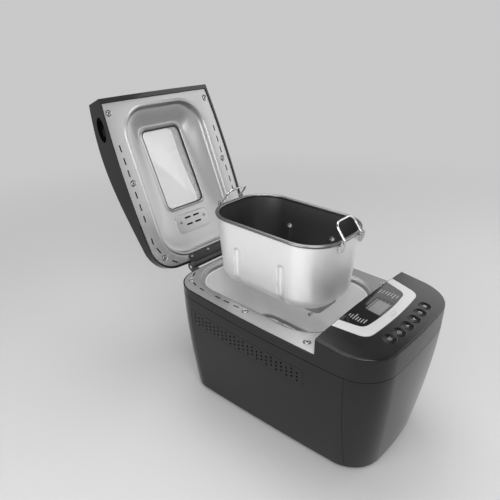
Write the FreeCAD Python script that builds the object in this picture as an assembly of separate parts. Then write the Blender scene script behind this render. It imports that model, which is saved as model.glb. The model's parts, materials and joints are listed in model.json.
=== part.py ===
import FreeCAD, Part
import math
import os

# Bread machine with its lid open and its pan lifted clear of the oven.
# Millimetres. +X right, -Y front (controls), +Z up, origin on the table under the casing.

V = FreeCAD.Vector
RIGHT = V(1, 0, 0)
BACK = V(0, 1, 0)
UP = V(0, 0, 1)

# General sizes
wall = 2.5                    # moulded plastic
sheet = 1.0                   # pressed steel
fit_gap = 0.3                 # between neighbouring pieces
running_gap = 0.05            # shaft in its bush, on the radius
far = 400.0                   # longer than any piece, for cutting tools

# Heights of the casing
foot_height = 8.0
drive_space = 50.0            # under the oven, for bearings and belts
seam_drop = 17.0              # seam below the deck
seam_gap = 0.8                # open line of the seam

# Plan of the casing at the seam
step_y = -104.0               # console's rear wall, where the deck begins
deck_length = 300.0
console_depth = 97.0
back_margin = 2.0             # housing behind the deck
top_half_middle = 127.0
top_front_narrowing = 8.5
top_back_narrowing = 8.0
top_front_bow = 8.0
top_back_bow = 4.0
top_front_radius = 58.0
top_back_radius = 49.0

# Taper of the casing towards the table
bottom_front_inset = 17.0
bottom_back_inset = 17.0
bottom_front_draw = 25.5      # how far each side comes in
bottom_middle_draw = 21.0
bottom_back_draw = 6.0
bottom_front_radius = 55.0
bottom_back_radius = 45.0
taper_power = 1.6             # the taper quickens towards the bottom
taper_sections = 4
front_seam_reach = 51.0       # from the front to the joint of front panel and side wall

# Side vents
vent_reach = 17.0             # behind the step
vent_end_margin = 47.0        # before the deck's back
vent_drop = 19.5              # below the seam
vent_height = 30.0
vent_edge = 9.5               # least plain strip at either end
vent_rows = 3
vent_column_pitch = 9.4
vent_row_pitch = 7.0
vent_hole_radius = 1.75

# Base, feet and screws
base_rim = 14.0
foot_radius = 11.0
foot_taper = 2.0
foot_side_inset = 38.0
foot_front_inset = 76.0
foot_back_inset = 63.0
screw_head_radius = 3.6
screw_head_height = 1.6
screw_shank_radius = 1.5
screw_length = 6.0
base_screw_inset = 22.0
base_screw_offset = 22.0      # along the side from each foot

# Control console
console_height = 31.0         # top of the console over the deck, in the middle of its rear edge
console_crown = 4.0           # how far the top falls to its sides
console_slope = 5.4           # degrees, down towards the front
console_edge_radius = 3.0
trim_depth = 1.2
trim_proud = 0.6
trim_half_front = 74.0
trim_half_back = 86.0
trim_reach = 56.0             # from the step to the trim's front
trim_band = 15.0
trim_bow = 5.0
trim_radius = 18.0
trim_side_bow = 1.25
trim_inner_share = 0.25       # how much of the band the inner corners lose
step_margin = 1.0             # trim and lens stop short of the step
lens_proud = 0.1
lcd_half = 20.5
lcd_front = 37.5
lcd_back = 12.5
lcd_sunk = 0.4
indicator_half = 8.0
indicator_reach = 48.5
indicator_width = 5.0
indicator_radius = 2.2
indicator_proud = 0.9
ledge = 2.5                   # shelf of the housing under the deck
deck_ledge_margin = 4.0       # from the oven's funnel to the shelf

# Buttons
button_count = 6
button_pitch = 21.5
button_radius = 8.2
button_proud = 0.5
button_dish = 1.2
button_skirt = 6.0
button_flange = 1.4
button_flange_width = 1.6
button_stem_radius = 2.5
button_stem_end = 11.0
button_travel = 1.2
button_margin_middle = 21.0   # from the console's front
button_margin_end = 25.0
switch_radius = 3.0

# Boards
board_depth = 14.2            # control board below the console's top
board_thickness = 1.6
board_half = 75.0
board_margin = 13.0           # from the console's front
board_back = 20.0
board_post_radius = 3.5
board_post_x = 66.0
board_post_front = 60.0
board_post_back = 24.0
power_board_inset = 27.0
power_board_y = 0.0
power_board_half = 19.0
power_board_length = 80.0
power_board_z = 28.0
board_stand_radius = 3.0
transformer_half = 8.0
transformer_length = 32.0
transformer_height = 15.0
relay_half = 5.0
relay_length = 24.0
relay_height = 11.5
capacitor_radius = 4.7
capacitor_height = 14.0
component_spread = 9.0        # from the board's middle line
component_back = 8.0          # transformer and relay towards the front
capacitor_front = 24.0

# Deck and oven
mouth_half = 90.0
mouth_margin = 18.0           # deck between the step and the mouth, and behind the mouth
mouth_radius = 55.0
funnel_run = 7.0
funnel_depth = 8.0
deck_edge = 2.0               # housing showing round the deck
oven_depth = 155.0
oven_floor_radius = 14.0
oven_flange = 6.0
deck_screw_inset = 19.5
deck_screw_back_inset = 30.0
deck_screw_front = 24.0
deck_screw_middle = 142.0
deck_screw_back_margin = 23.0

# Heater and sensor
heater_radius = 3.25
heater_height = 17.0          # over the oven floor
heater_wall_gap = 20.0
heater_corner = 40.0
heater_tail_x = 20.0
heater_tail_bend = 6.0
heater_tail_length = 12.0
clip_half = 3.0
clip_width = 10.0
clip_spread = 60.0
sensor_radius = 3.0
sensor_height = 52.0
sensor_reach = 10.0
sensor_flange = 7.0

# Drive
drive_spread = 60.0           # each drive shaft from the middle of the oven
shaft_radius = 4.0
chassis_drop = 12.0           # below the oven's floor
chassis_thickness = 2.0
chassis_half = 56.0
chassis_front_inset = 29.0
chassis_back_inset = 58.0
chassis_corner = 12.0
post_radius = 6.0
post_x = 46.0
post_front_inset = 51.0
post_back_inset = 73.0
bearing_radius = 9.0
bearing_flange_radius = 15.0
bearing_flange = 3.0
bearing_below = 10.0          # bush under the chassis plate
bearing_above = 8.0           # bush over the chassis plate
pulley_radius = 32.0
pulley_flange = 1.0
pulley_hub_radius = 9.0
belt_width = 5.0
belt_thickness = 2.0
belt_drop = 23.5              # lower belt below the chassis
motor_inset = 62.0
motor_radius = 33.0
motor_height = 72.0
motor_pulley_radius = 10.0
motor_shaft_radius = 3.0
motor_shaft_hole = 6.0
motor_boss_radius = 9.0
motor_boss_height = 5.0
dog_hub_radius = 13.0
dog_hole_gap = 2.0
dog_hub_height = 3.0
dog_height = 6.0
dog_width = 10.0
dog_inner_radius = 8.0
dog_bar_half = 12.0
dog_bar_width = 7.0
dog_clearance = 1.3

# Pan
pan_lift = 142.7              # how far the pan stands above its seat
pan_height = 119.0
pan_half = 72.0
pan_half_length = 117.0
pan_radius = 55.0
pan_draft = 6.0
pan_end_draft = 8.0
pan_wall = 1.6
pan_bottom_radius = 22.0
pan_rim = 3.0
pan_rim_height = 5.0
pan_rim_edge = 2.0
pan_rib_radius = 5.0
pan_rib_spread = 45.0
pan_rib_top = 46.0
pan_rib_bottom = 6.0
pan_base_half = 28.0
pan_base_half_length = 90.0
pan_base_radius = 9.0
pan_base_height = 14.0
pan_base_wall = 2.5
seat_gap = 0.3
socket_thickness = 2.0
socket_margin = 8.0
socket_clip = 1.2
socket_clip_half = 20.0
socket_clip_height = 12.0
socket_clip_gap = 0.5
bush_radius = 8.0
bush_flange_radius = 12.0
bush_flange = 3.0
bush_below = 3.0
kneader_top = 26.0            # shaft over the bush
paddle_hub_radius = 9.0
paddle_hub_height = 24.0
paddle_reach = 38.0
paddle_toe = 30.0             # the blade's lower edge stops short, for the pan's rounded floor
paddle_toe_height = 7.0
paddle_tip_height = 10.0
paddle_peak_reach = 29.0
paddle_peak_height = 30.0
paddle_root_height = 20.0
paddle_thickness = 6.0

# Bails
bail_wire_radius = 2.0
bail_half = 22.0
bail_height = 30.0
bail_corner = 7.0
bail_foot_bend = 3.0
bail_foot_end = 29.5
bail_offset = 6.0             # pivot outside the pan's end wall
bail_rise = 0.5               # pivot above the rim
bail_lean = 38.0              # degrees inward from upright
ear_thickness = 3.0
ear_clear = 1.5               # from bail leg to ear
ear_drop = 16.0
ear_reach = 9.0
ear_top = 3.0
ear_rim_gap = 0.6

# Lid, drawn closed and then opened
lid_open = 112.7              # degrees
lid_gap = 2.8                 # liner over the deck
lid_side_inset = 2.5          # from the housing's side
lid_front_narrowing = 6.5
lid_back_narrowing = 7.5
lid_step_gap = 9.5
lid_hinge_gap = 8.5           # from the hinge's axis
lid_front_bow = 0.8
lid_back_bow = 6.0
lid_back_radius = 47.0
cover_rim = 3.5
cover_front_rim = 8.0
cover_lip = 2.2               # cover's edge below the liner
cover_crown = 12.0
cover_ledge_margin = 4.0
cover_overrun = 3.0           # slices reach past the plan that trims them
cover_depth_front = 30.0
cover_depth_peak = 42.0
cover_depth_middle = 37.0
cover_depth_rear = 26.0
cover_depth_back = 14.0
cover_depth_end = 3.0
cover_peak_at = 227.0         # from the hinge end
cover_middle_at = 162.0
cover_rear_at = 101.0
cover_back_at = 35.0
cover_end_at = -35.0
dish_half = 95.0
dish_margin_back = 11.0
dish_margin_front = 8.0
dish_radius = 60.0
dish_slope_run = 15.0
dish_depth_front = 27.0
dish_depth_back = 14.0
window_half = 44.0
window_start = 100.0          # from the hinge end
window_length = 153.0
window_radius = 12.0
window_frame = 6.0
seal_thickness = 1.5
seal_lip = 2.0
glass = 3.0
outer_window_gap = 0.3
steam_half = 41.5
steam_start = 48.0
steam_length = 38.0
steam_thickness = 1.6
steam_slot_half = 8.0
steam_slot_width = 4.0
steam_slot_radius = 1.9
steam_corner = 8.0
steam_slot_x = 12.0
steam_slot_low = 16.5
steam_slot_high = 29.5
rivet_x = 29.0
rivet_from_edge = 24.0
rivet_radius = 3.2
rivet_height = 1.2
lid_screw_front_inset = 14.5
lid_screw_front_margin = 18.0
lid_screw_middle_inset = 15.5
lid_screw_middle = 166.0      # from the hinge end
lid_screw_back_inset = 26.5
lid_screw_back = 24.5
liner_slot_inset = 13.5
liner_slot_length = 12.5
liner_slot_width = 2.6
liner_slot_radius = 1.2
liner_slots = (228.0, 205.5, 184.0, 145.5, 123.0, 102.0, 60.0)
grip_margin = 62.0            # from the free end to the grip's far end
grip_length = 43.0
grip_low = 4.0
grip_high = 27.0
grip_depth = 14.0
grip_overrun = 10.0           # cutter past the widest side

# Hinge
hinge_stand = 23.0            # axis behind the casing
hinge_drop = 7.0              # axis below the deck
hinge_pin_radius = 3.0
hinge_knuckle_radius = 5.5
hinge_leaf_half = 47.0
hinge_leaf_length = 20.0
hinge_leaf_thickness = 2.0
hinge_lug_gap = 1.0
hinge_lug_width = 9.0
hinge_lug_radius = 8.0
hinge_lug_low = 10.0
hinge_plate = 5.0
hinge_rivet_x = 41.0
hinge_rivet_reach = 15.5

# Mains inlet
inlet_x = 52.0
inlet_z = 42.0
inlet_radius = 8.0
inlet_flange_radius = 12.0
inlet_flange = 3.0
inlet_bore = 4.0
inlet_length = 16.0

# Places worked out from the sizes
deck_top = foot_height + drive_space + oven_depth
seam_z = deck_top - seam_drop
casing_front = step_y - console_depth
deck_back = step_y + deck_length
casing_back = deck_back + back_margin
top_half_front = top_half_middle - top_front_narrowing
top_half_back = top_half_middle - top_back_narrowing
bottom_half_front = top_half_front - bottom_front_draw
bottom_half_middle = top_half_middle - bottom_middle_draw
bottom_half_back = top_half_back - bottom_back_draw
front_seam_y = casing_front + front_seam_reach
vent_front = step_y + vent_reach
vent_length = deck_back - vent_end_margin - vent_front
vent_low = seam_z - vent_drop - vent_height
vent_columns = int((vent_length - 2 * vent_edge) / vent_column_pitch) + 1
foot_x = bottom_half_middle - foot_side_inset
foot_front_y = casing_front + foot_front_inset
foot_back_y = casing_back - foot_back_inset
base_screw_x = bottom_half_middle - base_screw_inset
button_reach_middle = console_depth - button_margin_middle
button_reach_end = console_depth - button_margin_end
board_front = console_depth - board_margin
power_board_x = bottom_half_middle - power_board_inset
mouth_front_y = step_y + mouth_margin
mouth_back_y = deck_back - mouth_margin
oven_y = (mouth_front_y + mouth_back_y) / 2
oven_floor = deck_top - oven_depth
funnel_z = deck_top - funnel_depth
slope = math.radians(console_slope)
console_out = V(0, -math.sin(slope), math.cos(slope))
console_down = V(0, -math.cos(slope), -math.sin(slope))
console_rear = V(0, step_y, deck_top + console_height)
crown_radius = (top_half_front ** 2 + console_crown ** 2) / (2 * console_crown)
chassis_bottom = oven_floor - chassis_drop
chassis_top = chassis_bottom + chassis_thickness
chassis_front = casing_front + chassis_front_inset
chassis_back = casing_back - chassis_back_inset
post_front = casing_front + post_front_inset
post_back = casing_back - post_back_inset
motor_y = casing_front + motor_inset
belt_low_z = chassis_bottom - belt_drop
belt_step = pulley_flange + belt_width + 2 * fit_gap
drive_front_y = oven_y - drive_spread
drive_rear_y = oven_y + drive_spread
socket_top = oven_floor + socket_thickness
pan_feet_seated = socket_top + seat_gap
pan_feet = pan_feet_seated + pan_lift
pan_bottom = pan_feet + pan_base_height
rim_z = pan_bottom + pan_height
dog_base = socket_top + fit_gap
dog_hub_top = dog_base + dog_hub_height
hinge_y = casing_back + hinge_stand
hinge_z = deck_top - hinge_drop
lid_plane = deck_top + lid_gap
lid_front = step_y + lid_step_gap
lid_back = hinge_y - lid_hinge_gap
lid_length = lid_back - lid_front
lid_half_middle = top_half_middle - lid_side_inset
lid_half_front = lid_half_middle - lid_front_narrowing
lid_half_back = lid_half_middle - lid_back_narrowing
grip_start = lid_length - grip_margin
dish_front_y = lid_front + dish_margin_front
dish_back_y = lid_back - dish_margin_back
dish_floor_front = dish_front_y + dish_slope_run
dish_floor_back = dish_back_y - dish_slope_run
dish_tilt = math.degrees(math.atan2(dish_depth_front - dish_depth_back, dish_floor_back - dish_floor_front))
dish_mid_y = (dish_floor_front + dish_floor_back) / 2
dish_mid_depth = (dish_depth_front + dish_depth_back) / 2
shapes = {}


def box(x0, x1, y0, y1, z0, z1):
    return Part.makeBox(x1 - x0, y1 - y0, z1 - z0, V(x0, y0, z0))


def rod(radius, base, direction, length):
    return Part.makeCylinder(radius, length, base, direction)


def tube(outer, inner, base, direction, length):
    return rod(outer, base, direction, length).cut(rod(inner, base, direction, length))


def fuse(solids):
    return solids[0].multiFuse(solids[1:]).removeSplitter()


def mirrored(shape):
    return shape.mirror(V(0, 0, 0), RIGHT)


def segment(a, b):
    return Part.LineSegment(a, b).toShape()


def arc(a, b, c):
    return Part.Arc(a, b, c).toShape()


def prism(wire, height):
    return Part.Face(wire).extrude(V(0, 0, height))


def polygon_x(points, x0, x1):
    # outline given as (y, z) pairs, extruded along X
    corners = [V(x0, y, z) for y, z in points]
    return Part.Face(Part.makePolygon(corners + corners[:1])).extrude(V(x1 - x0, 0, 0))


def dome(radius, height, base, direction):
    # shallow button head that stands on its flat
    ball = (radius ** 2 + height ** 2) / (2 * height)
    sphere = Part.makeSphere(ball, base - direction * (ball - height))
    return sphere.common(rod(radius, base, direction, height))


def rounded_rect(half, y0, y1, radius, z):
    cut = radius * (1 - math.sqrt(0.5))
    corners = []
    for sx, y_near, inward in ((1, y0, 1), (1, y1, -1), (-1, y1, -1), (-1, y0, 1)):
        on_end = V(sx * (half - radius), y_near, z)
        middle = V(sx * (half - cut), y_near + inward * cut, z)
        on_side = V(sx * half, y_near + inward * radius, z)
        leads_out = sx * inward > 0
        corners.append((on_end, middle, on_side) if leads_out else (on_side, middle, on_end))
    edges = []
    for index, (start, middle, end) in enumerate(corners):
        edges.append(arc(start, middle, end))
        edges.append(segment(end, corners[(index + 1) % 4][0]))
    return Part.Wire(edges)


def circle_through(a, b, c):
    d = 2 * (a[0] * (b[1] - c[1]) + b[0] * (c[1] - a[1]) + c[0] * (a[1] - b[1]))
    squares = [p[0] ** 2 + p[1] ** 2 for p in (a, b, c)]
    x = (squares[0] * (b[1] - c[1]) + squares[1] * (c[1] - a[1]) + squares[2] * (a[1] - b[1])) / d
    y = (squares[0] * (c[0] - b[0]) + squares[1] * (a[0] - c[0]) + squares[2] * (b[0] - a[0])) / d
    return x, y, math.hypot(a[0] - x, a[1] - y)


def corner_arc(first, second, radius, near):
    # start, middle and end of the arc that rounds the meeting of two circles from inside
    ax, ay, a_reach = first[0], first[1], first[2] - radius
    bx, by, b_reach = second[0], second[1], second[2] - radius
    apart = math.hypot(bx - ax, by - ay)
    along = (a_reach ** 2 - b_reach ** 2 + apart ** 2) / (2 * apart)
    aside = math.sqrt(a_reach ** 2 - along ** 2)
    ux, uy = (bx - ax) / apart, (by - ay) / apart
    sides = [(ax + along * ux - s * aside * uy, ay + along * uy + s * aside * ux) for s in (1, -1)]
    cx, cy = min(sides, key=lambda p: math.hypot(p[0] - near[0], p[1] - near[1]))
    to_a = ((cx - ax) / a_reach, (cy - ay) / a_reach)
    to_b = ((cx - bx) / b_reach, (cy - by) / b_reach)
    size = math.hypot(to_a[0] + to_b[0], to_a[1] + to_b[1])
    outward = ((to_a[0] + to_b[0]) / size, (to_a[1] + to_b[1]) / size)
    return [(cx + radius * ox, cy + radius * oy) for ox, oy in (to_a, outward, to_b)]


class Plan:
    # plan outline, the same on both sides of x = 0, with bowed sides and ends and tangent corners

    def __init__(self, front, back, half_front, half_middle, half_back, front_bow, back_bow,
                 front_radius, back_radius):
        self.front = front
        self.back = back
        self.half_front = half_front
        self.half_middle = half_middle
        self.half_back = half_back
        self.front_bow = front_bow
        self.back_bow = back_bow
        self.front_radius = front_radius
        self.back_radius = back_radius

    def sizes(self):
        return [self.front, self.back, self.half_front, self.half_middle, self.half_back,
                self.front_bow, self.back_bow, self.front_radius, self.back_radius]

    def inset(self, d):
        # sharp corners stay sharp
        front_radius = self.front_radius - d if self.front_radius else 0
        back_radius = self.back_radius - d if self.back_radius else 0
        return Plan(self.front + d, self.back - d, self.half_front - d, self.half_middle - d,
                    self.half_back - d, self.front_bow, self.back_bow, front_radius, back_radius)

    def toward(self, other, share):
        return Plan(*[a + (b - a) * share for a, b in zip(self.sizes(), other.sizes())])

    def wire(self, z):
        middle = (self.front + self.back) / 2
        side = circle_through((self.half_front, self.front), (self.half_middle, middle),
                              (self.half_back, self.back))
        front = circle_through((-self.half_front, self.front + self.front_bow), (0, self.front),
                               (self.half_front, self.front + self.front_bow))
        back = circle_through((-self.half_back, self.back - self.back_bow), (0, self.back),
                              (self.half_back, self.back - self.back_bow))
        a = corner_arc(front, side, self.front_radius, (self.half_front, self.front))
        b = corner_arc(side, back, self.back_radius, (self.half_back, self.back))
        chord = ((a[2][0] + b[0][0]) / 2 - side[0], (a[2][1] + b[0][1]) / 2 - side[1])
        reach = side[2] / math.hypot(*chord)
        flank = [a[2], (side[0] + chord[0] * reach, side[1] + chord[1] * reach), b[0]]
        right = [flank]
        if self.front_radius:
            right.insert(0, a)
        if self.back_radius:
            right.append(b)
        left = [[(-x, y) for x, y in reversed(run)] for run in reversed(right)]
        ends = [[(-a[0][0], a[0][1]), (0, self.front), a[0]], [b[2], (0, self.back), (-b[2][0], b[2][1])]]
        runs = [ends[0]] + right + [ends[1]] + left
        return Part.Wire([arc(*[V(x, y, z) for x, y in run]) for run in runs])

    def solid(self, z0, z1):
        return prism(self.wire(z0), z1 - z0)


top_plan = Plan(casing_front, casing_back, top_half_front, top_half_middle, top_half_back,
                top_front_bow, top_back_bow, top_front_radius, top_back_radius)
bottom_plan = Plan(casing_front + bottom_front_inset, casing_back - bottom_back_inset, bottom_half_front,
                   bottom_half_middle, bottom_half_back, top_front_bow, top_back_bow,
                   bottom_front_radius, bottom_back_radius)
lid_plan = Plan(lid_front, lid_back, lid_half_front, lid_half_middle, lid_half_back,
                lid_front_bow, lid_back_bow, 0, lid_back_radius)
cover_plan = Plan(lid_front - cover_front_rim, lid_back + cover_rim, lid_half_front + cover_rim,
                  lid_half_middle + cover_rim, lid_half_back + cover_rim, lid_front_bow, lid_back_bow,
                  0, lid_back_radius + cover_rim)


def casing_plan(z):
    share = (seam_z - z) / (seam_z - foot_height)
    return top_plan.toward(bottom_plan, share ** taper_power)


def casing_block(inset):
    heights = [seam_z + (foot_height - seam_z) * i / taper_sections for i in range(taper_sections + 1)]
    return Part.makeLoft([casing_plan(z).inset(inset).wire(z) for z in heights], True, False)


def in_front_of(y):
    return box(-far, far, y - far, y, -far, far)


def behind(y):
    return box(-far, far, y, y + far, -far, far)


def vent_opening(clearance):
    return box(0, far, vent_front + clearance, vent_front + vent_length - clearance,
               vent_low + clearance, vent_low + vent_height - clearance)


def vent_holes():
    span = (vent_columns - 1) * vent_column_pitch
    first_y = vent_front + (vent_length - span) / 2
    low_z = vent_low + (vent_height - (vent_rows - 1) * vent_row_pitch - vent_row_pitch / 2) / 2
    holes = []
    for column in range(vent_columns):
        lift = vent_row_pitch / 2 if column % 2 else 0
        for row in range(vent_rows):
            place = V(0, first_y + column * vent_column_pitch, low_z + row * vent_row_pitch + lift)
            holes.append(rod(vent_hole_radius, place, RIGHT, far))
    return Part.makeCompound(holes)


def inlet_place():
    plan = casing_plan(inlet_z)
    return V(inlet_x, plan.back - plan.back_bow * (inlet_x / plan.half_back) ** 2, inlet_z)


def inlet_stand():
    # the wall leans and bows, so the flange stands off it until its whole face is clear
    plan = casing_plan(inlet_z + inlet_flange_radius)
    near_x = inlet_x - inlet_flange_radius
    return plan.back - plan.back_bow * (near_x / plan.half_back) ** 2 - inlet_place().y + fit_gap


def make_casing():
    skin = casing_block(0).cut(casing_block(wall))
    shapes["front_panel"] = skin.common(in_front_of(front_seam_y - fit_gap))
    vents = vent_opening(0)
    inlet_hole = rod(inlet_radius + fit_gap, inlet_place() - BACK * inlet_length, BACK, 2 * inlet_length)
    grille = skin.common(vent_opening(fit_gap)).cut(vent_holes())
    shapes["casing_wrap"] = skin.common(behind(front_seam_y)).cut([vents, mirrored(vents), inlet_hole])
    shapes["vent_grille_right"] = grille
    shapes["vent_grille_left"] = mirrored(grille)


def make_inlet():
    place = inlet_place()
    neck = rod(inlet_radius, place - BACK * (inlet_length - inlet_flange), BACK, inlet_length + inlet_stand())
    flange = rod(inlet_flange_radius, place + BACK * inlet_stand(), BACK, inlet_flange)
    bore = rod(inlet_bore, place - BACK * inlet_length, BACK, 2 * inlet_length)
    shapes["mains_inlet"] = fuse([neck, flange]).cut(bore)


def post_places():
    return [(side * post_x, y) for side in (1, -1) for y in (post_front, oven_y, post_back)]


def foot_places():
    return [(side * foot_x, y) for side in (1, -1) for y in (foot_front_y, foot_back_y)]


def make_base():
    plan = bottom_plan.inset(wall + fit_gap)
    floor_top = foot_height + wall
    tray = plan.solid(foot_height, foot_height + base_rim)
    tray = tray.cut(plan.inset(wall).solid(floor_top, foot_height + base_rim))
    posts = [rod(post_radius, V(x, y, foot_height), UP, chassis_bottom - foot_height)
             for x, y in post_places()]
    stands = [rod(board_stand_radius, V(x, y, foot_height), UP, power_board_z - foot_height)
              for x, y in power_board_stands()]
    tray = fuse([tray] + posts + stands)
    feet = []
    for x, y in foot_places():
        feet.append(Part.makeCone(foot_radius - foot_taper, foot_radius, foot_height, V(x, y, 0)))
    screws = []
    for side in (1, -1):
        for y in (foot_front_y + base_screw_offset, foot_back_y - base_screw_offset):
            place = V(side * base_screw_x, y, foot_height)
            tray = tray.cut(rod(screw_shank_radius + running_gap, place, UP, wall))
            head = dome(screw_head_radius, screw_head_height, place, UP * -1)
            screws.append(fuse([head, rod(screw_shank_radius, place, UP, screw_length)]))
    shapes["base_tray"] = tray
    shapes["rubber_feet"] = Part.makeCompound(feet)
    shapes["base_screws"] = Part.makeCompound(screws)


def crowned(offset):
    # everything under the console's crowned, sloping top, shifted by an offset
    start = console_rear - console_out * crown_radius - console_down * far / 2
    return rod(crown_radius + offset, start, console_down, far)


def console_layer(low, high):
    return crowned(high).cut(crowned(low))


def on_console(x, reach):
    # point of the crowned top at a distance in front of the step
    run = reach / math.cos(slope)
    drop = crown_radius - math.sqrt(crown_radius ** 2 - x ** 2)
    return console_rear + console_down * run + RIGHT * x - console_out * drop


def on_board_plane(x, reach, depth):
    run = reach / math.cos(slope)
    return console_rear + console_down * run + RIGHT * x - console_out * depth


def trim_plan(band):
    back = step_y + trim_reach
    growth = (trim_half_back - trim_half_front) * 2
    half_back = trim_half_front + growth
    half_middle = (trim_half_front + half_back) / 2 + trim_side_bow
    return Plan(step_y - trim_reach + band, back, trim_half_front - band, half_middle - band,
                half_back - band, trim_bow, trim_bow, trim_radius - band * trim_inner_share, 0)


def trim_column(inset):
    return trim_plan(inset).solid(deck_top, deck_top + far).common(in_front_of(step_y - step_margin))


def lcd_column(clearance):
    return box(-lcd_half - clearance, lcd_half + clearance, step_y - lcd_front - clearance,
               step_y - lcd_back + clearance, deck_top, deck_top + far)


def indicator_column(clearance):
    y = step_y - indicator_reach
    half_width = indicator_width / 2 + clearance
    wire = rounded_rect(indicator_half + clearance, y - half_width, y + half_width,
                        indicator_radius + clearance, deck_top)
    return prism(wire, far)


def button_places():
    places = []
    for index in range(button_count):
        x = (index - (button_count - 1) / 2) * button_pitch
        share = (x / ((button_count - 1) / 2 * button_pitch)) ** 2
        places.append(on_console(x, button_reach_middle + (button_reach_end - button_reach_middle) * share))
    return places


def make_housing():
    band_low = seam_z + seam_gap
    shelf_top = deck_top - sheet
    band = top_plan.solid(band_low, shelf_top)
    console = top_plan.solid(band_low, deck_top + far).common(in_front_of(step_y)).common(crowned(0))
    top_edges = [e for e in console.Edges if e.BoundBox.ZMin > shelf_top and e.BoundBox.YMin < step_y - 1]
    console = console.makeFillet(console_edge_radius, top_edges)
    inner = top_plan.inset(wall)
    under_deck = inner.solid(band_low, shelf_top - ledge)
    under_console = inner.solid(band_low, deck_top + far).common(in_front_of(step_y - wall))
    under_console = under_console.common(crowned(-wall))
    mouth = mouth_wire(funnel_run + deck_ledge_margin, band_low)
    housing = fuse([band, console]).cut([under_deck, under_console, prism(mouth, seam_drop)])
    lip = inner.inset(fit_gap)
    root = top_plan.inset(wall / 2).solid(band_low, band_low + wall)
    tongue = fuse([root, lip.solid(seam_z - wall, band_low + wall)])
    tongue = tongue.cut(lip.inset(wall).solid(seam_z - wall, band_low + wall))
    posts = []
    for side in (1, -1):
        for reach in (board_post_front, board_post_back):
            foot = on_board_plane(side * board_post_x, reach, board_depth)
            head = on_console(side * board_post_x, reach) - console_out * (trim_depth + wall) / 2
            posts.append(rod(board_post_radius, foot, console_out, (head - foot).Length))
    housing = fuse([housing, tongue] + posts)
    cuts = [trim_column(-fit_gap / 2).common(console_layer(-trim_depth, console_height)), lcd_column(fit_gap)]
    for place in button_places():
        cuts.append(rod(button_radius + fit_gap, place - console_out * 2 * wall, console_out, 4 * wall))
    for x, y in deck_screw_places():
        cuts.append(rod(screw_shank_radius + running_gap, V(x, y, deck_top - screw_length), UP, screw_length))
    shapes["upper_housing"] = housing.cut(cuts)


def make_console_pieces():
    seat = running_gap - trim_depth
    indicator = indicator_column(0).common(console_layer(seat, indicator_proud))
    trim = trim_column(0).cut(trim_column(trim_band)).common(console_layer(seat, trim_proud))
    lens = trim_column(trim_band + fit_gap).common(console_layer(seat, lens_proud))
    shapes["console_trim"] = trim.cut(indicator_column(fit_gap))
    shapes["display_lens"] = lens.cut(lcd_column(fit_gap))
    shapes["lcd_module"] = lcd_column(0).common(console_layer(-board_depth + fit_gap, -lcd_sunk))
    shapes["indicator_lens"] = indicator


def make_buttons():
    ball = (button_radius ** 2 + button_dish ** 2) / (2 * button_dish)
    for index, place in enumerate(button_places()):
        top = place + console_out * button_proud
        skirt = place - console_out * button_skirt
        stem_end = place - console_out * button_stem_end
        under_wall = place - console_out * (wall + 2 * fit_gap + button_flange)
        body = rod(button_radius, skirt, console_out, button_skirt + button_proud)
        flange = rod(button_radius + button_flange_width, under_wall, console_out, button_flange)
        stem = rod(button_stem_radius, stem_end, console_out, button_stem_end - wall)
        dish = Part.makeSphere(ball, top + console_out * (ball - button_dish))
        shapes["button_%d" % (index + 1)] = fuse([body, flange, stem]).cut(dish)


def make_control_board():
    corner = on_board_plane(-board_half, board_front, board_depth + board_thickness)
    board = Part.makeBox(2 * board_half, (board_front - board_back) / math.cos(slope), board_thickness)
    board.rotate(V(0, 0, 0), RIGHT, console_slope)
    board.translate(corner)
    pieces = [board]
    for place in button_places():
        top = place - console_out * (button_stem_end + button_travel + fit_gap)
        depth = (top - console_rear).dot(console_out)
        pieces.append(rod(switch_radius, top, console_out * -1, board_depth + depth + board_thickness / 2))
    shapes["control_board"] = fuse(pieces)


def power_board_stands():
    inset = 2 * board_stand_radius
    xs = (power_board_x - power_board_half + inset, power_board_x + power_board_half - inset)
    ys = (power_board_y - power_board_length / 2 + inset, power_board_y + power_board_length / 2 - inset)
    return [(x, y) for x in xs for y in ys]


def make_power_board():
    x, y, z = power_board_x, power_board_y, power_board_z
    half, length = power_board_half, power_board_length / 2
    board = box(x - half, x + half, y - length, y + length, z, z + board_thickness)
    top = z + board_thickness / 2
    left, right = x - component_spread, x + component_spread
    front = y - component_back
    transformer = box(left - transformer_half, left + transformer_half, front - transformer_length / 2,
                      front + transformer_length / 2, top, top + transformer_height)
    relay = box(right - relay_half, right + relay_half, front - relay_length / 2, front + relay_length / 2,
                top, top + relay_height)
    capacitor = rod(capacitor_radius, V(right, y + capacitor_front, top), UP, capacitor_height)
    shapes["power_board"] = fuse([board, transformer, relay, capacitor])


def deck_screw_places():
    side_x = top_half_middle - deck_screw_inset
    rows = ((side_x, deck_screw_front), (side_x, deck_screw_middle),
            (top_half_middle - deck_screw_back_inset, deck_length - deck_screw_back_margin))
    return [(side * x, step_y + reach) for side in (1, -1) for x, reach in rows]


def mouth_wire(grow, z):
    return rounded_rect(mouth_half + grow, mouth_front_y - grow, mouth_back_y + grow, mouth_radius + grow, z)


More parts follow.
